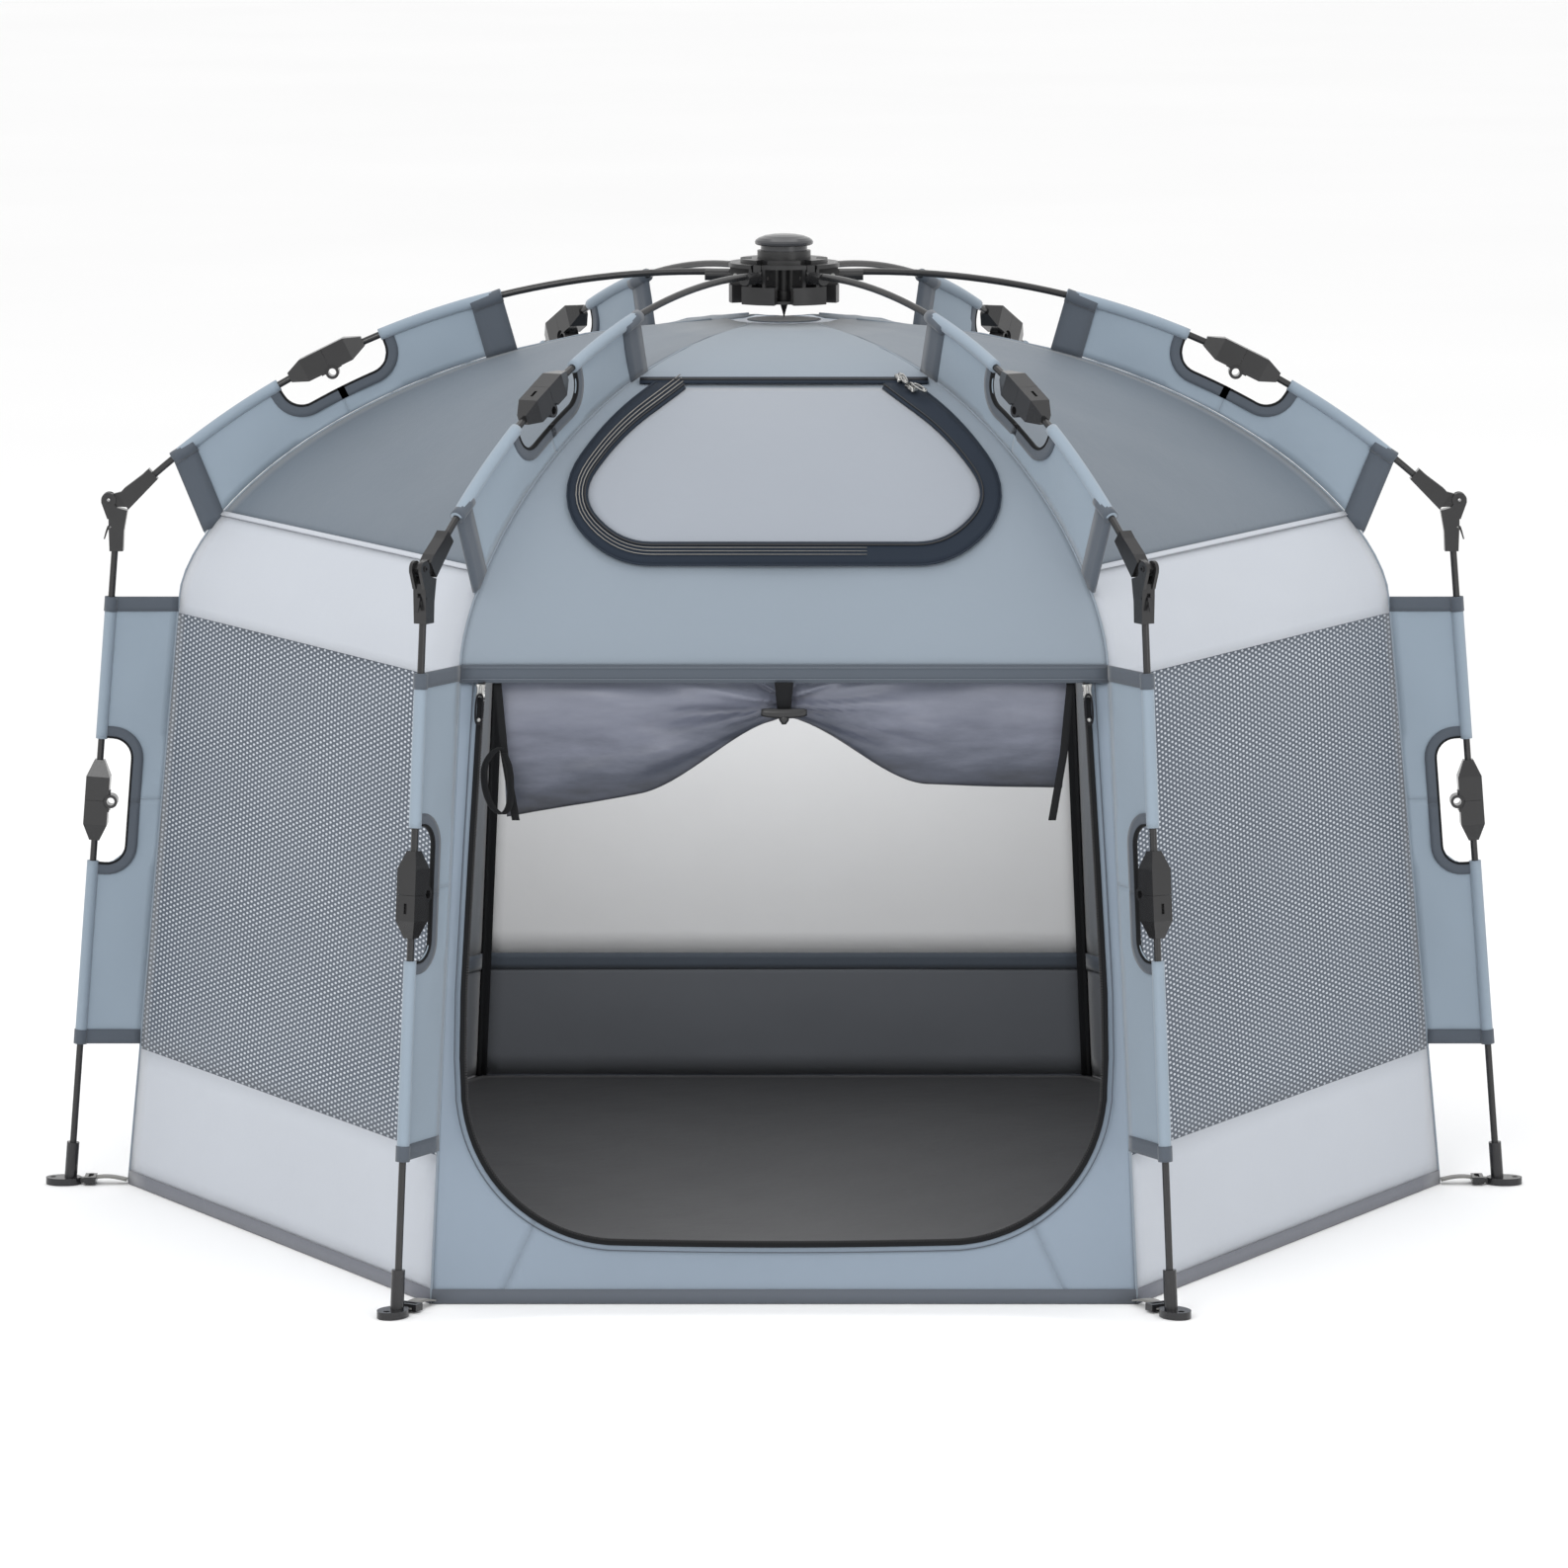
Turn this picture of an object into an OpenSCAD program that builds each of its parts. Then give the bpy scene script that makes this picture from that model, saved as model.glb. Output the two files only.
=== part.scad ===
// Travel play yard: a six-sided fabric tent hung inside a folding six-rib frame.
// Millimetres, +Z up, origin on the floor under the hub, door towards -Y.

/* [Frame] */
// Number of ribs, one at each tent corner
ribs = 6; // [6:1:6]
// Diameter of the fibreglass rods
rod_d = 7; // [6:0.5:10]
// Height of the hinge pins in the hub
hub_pin_z = 947; // [900:1:1000]
// Distance of the hub hinge pins from the centre
hub_pin_r = 50; // [44:1:60]
// Radius of the arched poles, along the rod
arch_r = 851.2; // [800:0.1:900]
// Centre of the arch, distance from the middle
arch_cx = 88.3; // [60:0.1:120]
// Centre of the arch, height
arch_cz = 98.9; // [60:0.1:140]
// Distance of the arch hinge from the middle
arch_hinge_r = 469; // [440:1:500]
// Length of the arch pole along x at its elbow end
arch_end_r = 652; // [640:1:660]
// Elbow pivot, distance from the middle
elbow_r = 693.5; // [680:0.5:710]
// Elbow pivot, height
elbow_z = 715.8; // [700:0.1:730]
// Height of the leg hinge
leg_hinge_z = 404; // [380:1:430]

/* [Hinges] */
// Length of a folding hinge over both halves
hinge_len = 84; // [70:1:100]
// Height and width of a folding hinge
hinge_w = 24.4; // [18:0.2:30]
// Distance of the hinge pivot from the rod
pivot_off = 14.4; // [12:0.1:18]
// Outer radius of a hinge lug
lug_r = 7; // [6:0.1:9]
// Outer radius of a hinge rivet
rivet_r = 5; // [3:0.1:6]
// Bore through a hollow hinge rivet
rivet_bore = 4; // [2:0.1:5]
// Running clearance of every hinge, on the radius
run_fit = 0.06; // [0.02:0.01:0.1]

/* [Hub] */
// Diameter of the hub flange
flange_d = 114; // [100:1:130]
// Diameter of the push cap
cap_d = 60; // [50:1:70]
// Outer diameter of the ring of stop blocks
stop_d = 113; // [100:1:120]

/* [Feet] */
// Length of a foot base
foot_len = 37; // [30:1:50]
// Width of a foot base
foot_wid = 28; // [20:1:40]
// Thickness of a foot base
foot_t = 7; // [5:0.5:10]
// Diameter of the peg hole in a foot
peg_d = 6.4; // [5:0.1:8]

/* [Tent] */
// Corner radius of the tent at the floor
body_r0 = 682; // [600:1:750]
// Corner radius of the tent where the roof starts to curve in
roof_r0 = 621.8; // [600:0.1:650]
// Height where the roof starts to curve in
roof_z0 = 615.4; // [600:0.1:630]
// Height of the peak of the roof
peak_z = 903.4; // [880:0.1:920]
// Fullness of the roof's curve outward: 2 is an ellipse, more is boxier
roof_full_r = 2.12; // [1.6:0.02:2.6]
// Fullness of the roof's curve upward
roof_full_z = 1.58; // [1.2:0.02:2.2]
// Thickness of the tent fabrics
cloth_t = 1.2; // [0.8:0.1:2]
// Height of the grey band at the foot of the walls
band_h = 14; // [10:1:20]
// Top of the skirt panels
skirt_z = 143; // [120:1:170]
// Top of the mesh panels
mesh_z = 598.5; // [560:0.5:640]
// Top of the eave panels
eave_z = 701; // [680:1:720]
// Height of the upper zip line on the front roof
roof_zip_z = 864.5; // [850:0.5:880]
// Thickness of the floor mat
mat_t = 6; // [3:0.5:12]
// Half width of the doorway at its top
door_half_w = 290; // [260:1:300]
// Height of the doorway sill
door_sill = 60; // [50:1:90]
// Radius of the lower doorway corners
door_corner = 150; // [100:1:180]

/* [Hidden] */
$fn = 48;
sector = 360 / ribs;
rod_r = rod_d / 2;
hinge_h = hinge_w / 2;
half_len = hinge_len / 2;
split = 0.15;
knuckle_r = 8;
knuckle_w = 11;
hub_socket_r = 6.2;
hub_socket_len = 31;
pin_r = 2;
arch_a = asin((arch_hinge_r - arch_cx) / arch_r);
arch_a0 = asin((hub_pin_r + 24 - arch_cx) / arch_r);
arch_a2 = asin((arch_end_r - arch_cx) / arch_r);
hinge_da = half_len * 180 / (PI * arch_r);
leg_top = [688, 666];
leg_foot = [739.5, 40];
leg_run = leg_foot - leg_top;
leg_dir = leg_run / norm(leg_run);
leg_out = [-leg_dir[1], leg_dir[0]];
leg_tilt = atan2(leg_run[0], -leg_run[1]);
function arch_pt(a, r) = [arch_cx + r * sin(a), arch_cz + r * cos(a)];
function leg_pt(z) = leg_top + leg_run * (leg_top[1] - z) / (leg_top[1] - leg_foot[1]);
hinge_c = arch_pt(arch_a, arch_r);
elbow_ref = 696.5;
elbow_pivot = [elbow_ref, elbow_z];
leg_c = leg_pt(leg_hinge_z);
foot_r = 749.5;
peg_r = foot_r + 11;
// Tent corner seam of the roof, a superellipse: 0 degrees is at the wall, 90 at the peak
function roof_seam(a) = [
    roof_r0 * pow(cos(a), 2 / roof_full_r),
    roof_z0 + (peak_z - roof_z0) * pow(sin(a), 2 / roof_full_z)
];
roof_steps = 8;
dome = [for (k = [0:roof_steps]) roof_seam(90 * k / roof_steps)];
flat = cos(sector / 2);
wall_top = dome[0];
wall_lean = (wall_top[0] - body_r0) / wall_top[1];
function seam_r(z) = z <= wall_top[1] ? body_r0 + wall_lean * z : lookup(z, [for (p = dome) [p[1], p[0]]]);
header_top = mesh_z + 17;
patch_t = 1.4;
roof_top = peak_z - patch_t - 0.2;
band_gap = 0.4;
panel_gap = 0.15;

// ---- helpers ----

module rib_at(i) {
    rotate([0, 0, i * sector])
        children();
}

// a plate in the radial plane: x is outwards, y is up
module plate(w, off = 0) {
    translate([0, -off, 0])
        rotate([90, 0, 0])
            linear_extrude(w, center = true)
                children();
}

// a round bar across the radial plane
module cross_bar(p, r, w) {
    translate([p[0], 0, p[1]])
        rotate([90, 0, 0])
            cylinder(h = w, r = r, center = true);
}

// a round bar along the radial plane, from p in direction a above the horizontal
module bar(p, a, len, r) {
    translate([p[0], 0, p[1]])
        rotate([0, 90 - a, 0])
            cylinder(h = len, r = r);
}

module arch_rod(a, b) {
    translate([arch_cx, 0, arch_cz])
        rotate([90, 0, 0])
            rotate([0, 0, 90 - b])
                rotate_extrude(angle = b - a, $fn = 180)
                    translate([arch_r, 0])
                        circle(r = rod_r, $fn = 24);
}

// half a hinge casing: x along the rod from the split, y across it
module casing_outline() {
    polygon([
        [split, -hinge_h], [half_len - 17, -hinge_h], [half_len, -5.2],
        [half_len, 5.2], [half_len - 17, hinge_h], [split, hinge_h]
    ]);
}

module casing_top() {
    polygon([
        [split, -10.5], [half_len - 17, -10.5], [half_len, -5],
        [half_len, 5], [half_len - 17, 10.5], [split, 10.5]
    ]);
}

module casing_half(slot) {
    difference() {
        intersection() {
            rotate([90, 0, 0])
                linear_extrude(40, center = true)
                    casing_outline();
            linear_extrude(40, center = true)
                casing_top();
        }
        if (slot)
            translate([8, -1.6, hinge_h - 2.5])
                cube([10, 3.2, 5]);
        translate([0, 0, -pivot_off])
            rotate([90, 0, 0])
                cylinder(h = 40, r = lug_r + 0.4, center = true);
    }
}

// hinge lugs at the pivot, below the casing: a middle tongue or two cheeks
module tongue() {
    difference() {
        union() {
            translate([0, 0, -pivot_off])
                rotate([90, 0, 0])
                    cylinder(h = 7.4, r = lug_r, center = true);
            translate([-11, -3.7, -pivot_off + 1])
                cube([10.8, 7.4, 8]);
        }
        translate([0, 0, -pivot_off])
            rotate([90, 0, 0])
                cylinder(h = 40, r = rivet_r + run_fit, center = true);
    }
}

module cheek(side) {
    translate([0, side * 6.3, -pivot_off])
        rotate([90, 0, 0])
            cylinder(h = 4.4, r = lug_r, center = true);
    translate([0.2, side * 6.3 - 2.2, -pivot_off + 1])
        cube([10.8, 4.4, 8]);
}

module cheeks() {
    difference() {
        union() {
            cheek(-1);
            cheek(1);
            translate([0, 0, -pivot_off])
                rotate([90, 0, 0])
                    cylinder(h = 17, r = rivet_r, center = true);
        }
        translate([0, 0, -pivot_off])
            rotate([90, 0, 0])
                cylinder(h = 40, r = rivet_bore, center = true);
    }
}

module at_arch_hinge() {
    translate([hinge_c[0], 0, hinge_c[1]])
        rotate([0, arch_a, 0])
            children();
}

module at_leg_hinge() {
    translate([leg_c[0], 0, leg_c[1]])
        rotate([0, 90 - leg_tilt, 0])
            children();
}

module flipped() {
    mirror([1, 0, 0])
        children();
}

// ---- frame ----

module arch_inner() {
    color("#454443") {
        difference() {
            union() {
                cross_bar([hub_pin_r, hub_pin_z], knuckle_r, knuckle_w);
                bar([hub_pin_r, hub_pin_z], -arch_a0 * 0.5, hub_socket_len, hub_socket_r);
                plate(9)
                    translate([hub_pin_r - 6, hub_pin_z + 5])
                        square([11, 8]);
            }
            cross_bar([hub_pin_r, hub_pin_z], pin_r + run_fit, 40);
        }
        arch_rod(arch_a0, arch_a - hinge_da * 0.8);
        at_arch_hinge() {
            flipped()
                casing_half(false);
            tongue();
        }
    }
}

module arch_outer() {
    color("#454443") {
        at_arch_hinge() {
            casing_half(true);
            cheeks();
        }
        arch_rod(arch_a + hinge_da * 0.8, arch_a2 + 1);
        elbow_place()
            elbow_upper();
    }
}

// the elbow shapes are drawn at elbow_ref and moved to the real pivot
module elbow_place() {
    translate([elbow_r - elbow_ref, 0, 0])
        children();
}

module elbow_upper() {
    difference() {
        union() {
            plate(13)
                polygon([
                    [686.6, 720.9], [676.3, 705.6], [645.6, 737.2],
                    [655, 748], [662, 741.5], [680, 728]
                ]);
            plate(6.4)
                polygon([
                    [683, 724], [696.5, 720.6], [701, 715.8],
                    [696.5, 711.2], [690, 708.5], [678, 708]
                ]);
        }
        cross_bar(elbow_pivot, 3 + run_fit, 40);
    }
}

module leg_upper() {
    color("#454443") {
        elbow_place()
            elbow_lower();
        bar(leg_pt(672), -90 + leg_tilt, leg_len(672, leg_hinge_z) - half_len * 0.8, rod_r);
        at_leg_hinge() {
            flipped()
                casing_half(false);
            tongue();
        }
    }
}

function leg_len(a, b) = norm(leg_pt(a) - leg_pt(b));

module elbow_lower() {
    difference() {
        union() {
            plate(14)
                polygon([
                    [689.4, 708], [677.2, 704.8], [681.2, 683],
                    [682.2, 662.7], [696.2, 662.7], [696.8, 690], [696.8, 701]
                ]);
            for (s = [-1, 1])
                plate(3.4, s * 5.3)
                    polygon([
                        [689, 715.8], [690.5, 711], [686, 706], [690, 696],
                        [698, 696], [704, 713], [704, 715.8]
                    ]);
            for (s = [-1, 1])
                translate([0, s * 5.3, 0])
                    cross_bar(elbow_pivot, 7.5, 3.4);
            cross_bar(elbow_pivot, 3, 16);
        }
        cross_bar(elbow_pivot, 1.6, 40);
        cross_bar([elbow_pivot[0], elbow_pivot[1]], 5.2, 7);
        plate(4.4)
            polygon([[694, 680], [694, 692], [700, 692], [700, 680]]);
        cross_bar([695.2, 687.5], 1 + run_fit, 40);
    }
    difference() {
        cross_bar(elbow_pivot, 3, 14);
        cross_bar(elbow_pivot, 1.6, 40);
    }
}

module elbow_lever() {
    color("#3a3a3b") elbow_place()
        difference() {
            plate(3.8)
                polygon([
                    [694.4, 689], [696.4, 689.4], [698.6, 688], [700, 684],
                    [702.4, 675], [701.2, 674.6], [698.8, 681.4], [697.6, 684.4],
                    [695, 685.6]
                ]);
            cross_bar([695.2, 687.5], 0.9, 40);
        }
}

module leg_lower() {
    color("#454443") {
        at_leg_hinge() {
            casing_half(true);
            cheeks();
        }
        bar(leg_pt(leg_hinge_z - half_len * 0.8), -90 + leg_tilt,
            leg_len(leg_hinge_z - half_len * 0.8, 12), rod_r);
    }
}

module foot() {
    color("#3c3c3d")
        difference() {
            union() {
                bar(leg_pt(44), -90 + leg_tilt, leg_len(44, 3), 6.5);
                translate([foot_r, 0, 0])
                    scale([foot_len / foot_wid, 1, 1])
                        cylinder(h = foot_t, d = foot_wid);
                translate([foot_r - 26, -4.5, 1.5])
                    cube([12, 9, 5]);
                translate([foot_r - 26, -12, 1.5])
                    cube([4, 24, 7]);
                translate([foot_r - 34, -12, 1.5])
                    cube([3, 24, 7]);
                for (s = [-1, 1])
                    translate([foot_r - 34, s * 10.5 - 1.5, 1.5])
                        cube([12, 3, 7]);
            }
            bar(leg_pt(50), -90 + leg_tilt, leg_len(50, 12), rod_r + 0.01);
            translate([peg_r, 0, -1])
                cylinder(h = 20, d = peg_d);
        }
}

module hub_body() {
    stop_lo = hub_pin_z - 27.5;
    stop_hi = hub_pin_z - 9.4;
    color("#4a4a4b")
        difference() {
            union() {
                // flange, neck and centre post
                translate([0, 0, hub_pin_z + 9])
                    cylinder(h = 4, d = flange_d, $fn = 96);
                translate([0, 0, hub_pin_z + 13])
                    cylinder(h = 4, d = 90, $fn = 96);
                translate([0, 0, hub_pin_z + 17])
                    cylinder(h = 8, d = 54.7, $fn = 96);
                translate([0, 0, stop_lo])
                    cylinder(h = 38.5, d = 26);
                translate([0, 0, stop_lo])
                    cylinder(h = 12, d = 34);
                // stop ring: floor plate and six blocks
                translate([0, 0, stop_lo])
                    cylinder(h = 3, d = 84, $fn = 96);
                for (i = [0:ribs - 1])
                    rib_at(i)
                        stop_block(stop_lo, stop_hi);
                // fork walls beside each rib
                for (i = [0:ribs - 1], s = [-1, 1])
                    rib_at(i)
                        translate([34, s * 8 - 1.75, stop_lo])
                            cube([21, 3.5, 38.5]);
            }
            for (i = [0:ribs - 1])
                rib_at(i) {
                    translate([33, -6.25, hub_pin_z - 8.9])
                        cube([40, 12.5, 60]);
                    cross_bar([hub_pin_r, hub_pin_z], pin_r, 20.2);
                }
            translate([0, 0, hub_pin_z + 15])
                cylinder(h = 20, d = 48, $fn = 96);
        }
}

module stop_block(lo, hi) {
    translate([0, 0, lo])
        rotate([0, 0, -20])
            rotate_extrude(angle = 40, $fn = 96)
                translate([stop_d / 2 - 16, 0])
                    square([16, hi - lo]);
}

module hub_pins() {
    color("#8b8c8e")
        for (i = [0:ribs - 1])
            rib_at(i)
                cross_bar([hub_pin_r, hub_pin_z], pin_r, 19.6);
}

module hub_cap() {
    rim = cap_d / 2;
    top = hub_pin_z + 42;
    color("#565759")
        rotate_extrude($fn = 96)
            polygon([
                [0, top], [12, top - 0.6], [20, top - 2], [26, top - 4.2],
                [rim - 1, top - 6.4], [rim, top - 8.4], [rim - 0.6, top - 10.6],
                [rim - 2, top - 11.4], [23.8, top - 11.4], [23.8, top - 20], [22, top - 20],
                [22, top - 10], [0, top - 9]
            ]);
}

module hub_tether() {
    color("#3a3a3b")
        rotate_extrude()
            polygon([
                [0, peak_z + 0.4], [0.9, peak_z + 0.4], [0.9, peak_z + 2.5], [1.9, peak_z + 6.5],
                [4.6, hub_pin_z - 27.8], [0, hub_pin_z - 27.8]
            ]);
}

// ---- tent ----

// how far the fabric leans back from upright, in degrees
function lean(z) = lookup(z, [[wall_top[1], 0], [eave_z, 40], [830, 65], [roof_top, 83]]);
function wall_pt(z, d) = [seam_r(z) * flat - d * cos(lean(z)), z - d * sin(lean(z))];
function wall_zs(lo, hi) = concat([lo], [for (p = dome) if (p[1] > lo + 1 && p[1] < hi - 1) p[1]], [hi]);

// cross-section of the tent shell between two heights, d0 to d1 inside the seam
module shell_outline(lo, hi, d0, d1) {
    zs = wall_zs(lo, hi);
    n = len(zs);
    polygon(concat(
        [for (z = zs) wall_pt(z, d0)],
        [for (k = [0:n - 1]) wall_pt(zs[n - 1 - k], d1)]
    ));
}

// one face of the tent between two heights, with a thin gap at its corner seams
module face(i, lo, hi, d0 = 0, d1 = cloth_t, gap = band_gap) {
    rotate([0, 0, (i + 0.5) * sector])
        intersection() {
            rotate([90, 0, 0])
                linear_extrude(body_r0 * 1.1, center = true)
                    shell_outline(lo, hi, d0, d1);
            translate([gap * 2, 0, lo - 5])
                linear_extrude(hi - lo + 10)
                    polygon([
                        [0, 0],
                        [body_r0, -body_r0 * tan(sector / 2)],
                        [body_r0, body_r0 * tan(sector / 2)]
                    ]);
        }
}

// the same face as flat panels, one for each straight stretch of the seam
module face_panels(i, lo, hi, d0 = 0, d1 = cloth_t) {
    zs = wall_zs(lo, hi);
    for (k = [0:len(zs) - 2])
        face(i, zs[k] + (k > 0 ? panel_gap : 0), zs[k + 1], d0, d1);
}

sides = [0, 1, 2, 3, 5];

module floor_mat() {
    color("#3d3d40")
        cylinder(h = mat_t, r = body_r0 - 3, $fn = ribs);
}

module base_binding() {
    color("#8b93a0")
        for (i = [0:ribs - 1])
            face(i, 0, band_h, -1.0, 0.3);
}

module skirt_panels() {
    color("#c4c9d2")
        for (i = sides)
            face(i, band_h + 0.3, skirt_z);
}

module mesh_panels() {
    color("#7b838e")
        for (i = sides)
            face(i, skirt_z + 0.3, mesh_z);
}

module eave_panels() {
    color("#cdd2da")
        for (i = sides)
            face_panels(i, mesh_z + 0.3, eave_z);
}

module roof_panels() {
    color("#8f98a3") {
        for (i = sides)
            face_panels(i, eave_z + 0.3, roof_top);
        translate([0, 0, peak_z - patch_t])
            cylinder(h = patch_t, d = 76, $fn = 48);
    }
}

module front_roof_panel() {
    color("#98a4b0")
        difference() {
            face_panels(4, header_top + 0.3, roof_top);
            window_cut(0);
        }
}

// prism through the front gore, seen along Y: the window outline grown by g
module window_cut(g) {
    translate([0, -240, 0])
        rotate([90, 0, 0])
            linear_extrude(400)
                polygon([
                    [-105 - g, 715 - g], [105 + g, 715 - g], [148 + g, 720 - g],
                    [178 + g, 741 - g * 0.5], [188 + g, 773], [183 + g, 796],
                    [156 + g, 835 + g * 0.5], [125 + g, 863 + g * 0.4],
                    [-125 - g, 863 + g * 0.4], [-156 - g, 835 + g * 0.5], [-183 - g, 796],
                    [-188 - g, 773], [-178 - g, 741 - g * 0.5], [-148 - g, 720 - g]
                ]);
}

module window_flap() {
    color("#b3bac4")
        intersection() {
            face_panels(4, eave_z + 2, roof_zip_z + 2, -1.6, -0.3);
            window_cut(-9.4);
        }
}

module window_zip() {
    color("#2f3845")
        difference() {
            intersection() {
                face(4, eave_z - 13, roof_zip_z + 17, -1.6, -0.3);
                window_cut(13);
            }
            window_cut(-9);
        }
}

slide_z = roof_zip_z - 7;
slide_y = -seam_r(slide_z) * flat;
roof_rise = dome[6] - dome[5];
roof_pitch = atan2(roof_rise[1], -roof_rise[0] * flat);

module window_sliders() {
    color("#9a9a98")
        for (x = [117, 126])
            translate([x, slide_y, slide_z])
                rotate([roof_pitch, 0, 0]) {
                    translate([-2.6, -4, 3.4])
                        cube([5.2, 8, 2.2]);
                    translate([-1.6, -21, 3.8])
                        cube([3.2, 18, 1.2]);
                }
}

// doorway outline seen from the front, grown by g
module door_outline(g) {
    w = door_half_w + 18 + g;
    polygon(concat(
        [[-door_half_w - g, mesh_z + 40], [-w, 300]],
        [for (a = [180:10:270]) [-w + door_corner * (1 + cos(a)), door_sill - g + door_corner * (1 + sin(a))]],
        [for (a = [270:10:360]) [w - door_corner * (1 - cos(a)), door_sill - g + door_corner * (1 + sin(a))]],
        [[w, 300], [door_half_w + g, mesh_z + 40]]
    ));
}

module door_cut(g) {
    translate([0, -480, 0])
        rotate([90, 0, 0])
            linear_extrude(300)
                door_outline(g);
}

module door_panel() {
    color("#8a96a3")
        difference() {
            face(4, band_h + 0.3, mesh_z - 0.3);
            door_cut(0);
        }
}

module door_header() {
    color("#5c646f")
        face(4, mesh_z, header_top, -0.4, 1.6);
}

module door_zip() {
    color("#151617")
        difference() {
            intersection() {
                face(4, band_h + 1, mesh_z - 0.6, -1.6, -0.3);
                door_cut(4);
            }
            door_cut(-3.5);
        }
}

module door_flap() {
    color("#85868f")
        for (s = [-1, 1])
            translate([0, -seam_r(mesh_z) * flat + 4.6, 0])
                rotate([90, 0, 0])
                    linear_extrude(5, center = true)
                        polygon([
                            [s * 14, 598], [s * 284, 598], [s * 278, 500],
                            [s * 200, 514], [s * 110, 538], [s * 14, 570]
                        ]);
}

module door_tie() {
    color("#1c1c1e") {
        translate([-9, -seam_r(mesh_z) * flat - 2, 566])
            cube([18, 1.8, 32]);
        translate([-15, -seam_r(mesh_z) * flat - 5, 560])
            cube([30, 5, 6]);
    }
}

module door_slider(s) {
    y0 = -seam_r(592) * flat - 6.6;
    color("#1d1d1f")
        translate([s * (door_half_w + 1.5), y0, 592]) {
            translate([-4, -0.6, -6])
                cube([8, 4.4, 12]);
            translate([-2.5, -2.6, -36])
                cube([5, 1.6, 34]);
        }
}

module corner_fin(pts, hole) {
    difference() {
        plate(1.4)
            polygon(pts);
        plate(30)
            polygon(hole);
    }
}

// webs between the arch poles and the roof seams
module arch_fins() {
    a0 = asin((289 - arch_cx) / arch_r);
    a1 = asin((627 - arch_cx) / arch_r);
    hole_a = 4.1;
    color("#8d99a5")
        for (i = [0:ribs - 1])
            rib_at(i)
                corner_fin(
                    concat(
                        [for (k = [0:12]) arch_pt(a0 + (a1 - a0) * k / 12, arch_r - rod_r - 0.6)],
                        [for (k = [2:6]) dome[k] + [4, 2.5]],
                        [[272, 874]]
                    ),
                    [
                        arch_pt(arch_a - hole_a, arch_r + 20), arch_pt(arch_a - hole_a, arch_r - 14),
                        arch_pt(arch_a - hole_a + 1.3, arch_r - 33),
                        arch_pt(arch_a + hole_a - 1.3, arch_r - 33),
                        arch_pt(arch_a + hole_a, arch_r - 14), arch_pt(arch_a + hole_a, arch_r + 20)
                    ]
                );
}

// webs between the legs and the wall corners
module leg_fins() {
    out = rod_r + 0.6;
    color("#8d99a5")
        for (i = [0:ribs - 1])
            rib_at(i)
                corner_fin(
                    [
                        leg_pt(615) - leg_out * out, leg_pt(148) - leg_out * out,
                        [seam_r(148) + 0.8, 148], [seam_r(615) + 0.8, 615]
                    ],
                    [
                        leg_pt(466) + leg_out * 30, leg_pt(466) - leg_out * 14,
                        leg_pt(455) - leg_out * 31, leg_pt(353) - leg_out * 31,
                        leg_pt(342) - leg_out * 14, leg_pt(342) + leg_out * 30
                    ]
                );
}

module foot_straps() {
    color("#b9b5a8")
        for (i = [0:ribs - 1])
            rib_at(i)
                translate([body_r0 + 1.4, -7, 2])
                    cube([foot_r - 34.6 - body_r0 - 1.4, 14, 1.6]);
}

for (i = [0:ribs - 1]) {
    rib_at(i) arch_inner();
    rib_at(i) arch_outer();
    rib_at(i) leg_upper();
    rib_at(i) leg_lower();
    rib_at(i) foot();
    rib_at(i) elbow_lever();
}
hub_body();
hub_pins();
hub_cap();
hub_tether();
floor_mat();
base_binding();
skirt_panels();
mesh_panels();
eave_panels();
roof_panels();
front_roof_panel();
window_flap();
window_zip();
window_sliders();
door_panel();
door_header();
door_zip();
door_flap();
door_tie();
door_slider(-1);  // door_slider_left
door_slider(1);  // door_slider_right
arch_fins();
leg_fins();
foot_straps();
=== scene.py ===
"""Looks of the travel play yard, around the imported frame. Metres, +Z up, door to -Y."""
import math
import random

import bmesh
import bpy
import numpy as np
from mathutils import Matrix, Vector


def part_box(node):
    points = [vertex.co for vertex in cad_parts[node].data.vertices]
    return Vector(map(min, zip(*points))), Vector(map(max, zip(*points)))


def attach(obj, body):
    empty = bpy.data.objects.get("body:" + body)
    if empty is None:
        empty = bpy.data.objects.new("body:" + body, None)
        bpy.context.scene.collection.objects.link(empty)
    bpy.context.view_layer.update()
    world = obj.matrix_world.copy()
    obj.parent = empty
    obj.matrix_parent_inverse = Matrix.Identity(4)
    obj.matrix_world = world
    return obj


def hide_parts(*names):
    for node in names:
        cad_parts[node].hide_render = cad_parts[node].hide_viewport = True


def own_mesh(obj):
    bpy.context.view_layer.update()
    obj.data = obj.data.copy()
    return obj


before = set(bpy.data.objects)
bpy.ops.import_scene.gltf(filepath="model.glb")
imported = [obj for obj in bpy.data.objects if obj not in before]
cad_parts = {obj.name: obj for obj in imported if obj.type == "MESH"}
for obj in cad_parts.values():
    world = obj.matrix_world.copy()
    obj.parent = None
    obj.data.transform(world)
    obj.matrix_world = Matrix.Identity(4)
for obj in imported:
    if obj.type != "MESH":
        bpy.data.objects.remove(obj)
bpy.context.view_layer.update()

# ---- driving dimensions, in metres ----
RIBS = 6
SECTOR = math.tau / RIBS
COS30, SIN30 = math.cos(SECTOR / 2), math.sin(SECTOR / 2)
FRONT, BACK = 4, 1


def low(node):
    return Vector(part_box(node)[0])


def high(node):
    return Vector(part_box(node)[1])


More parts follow.
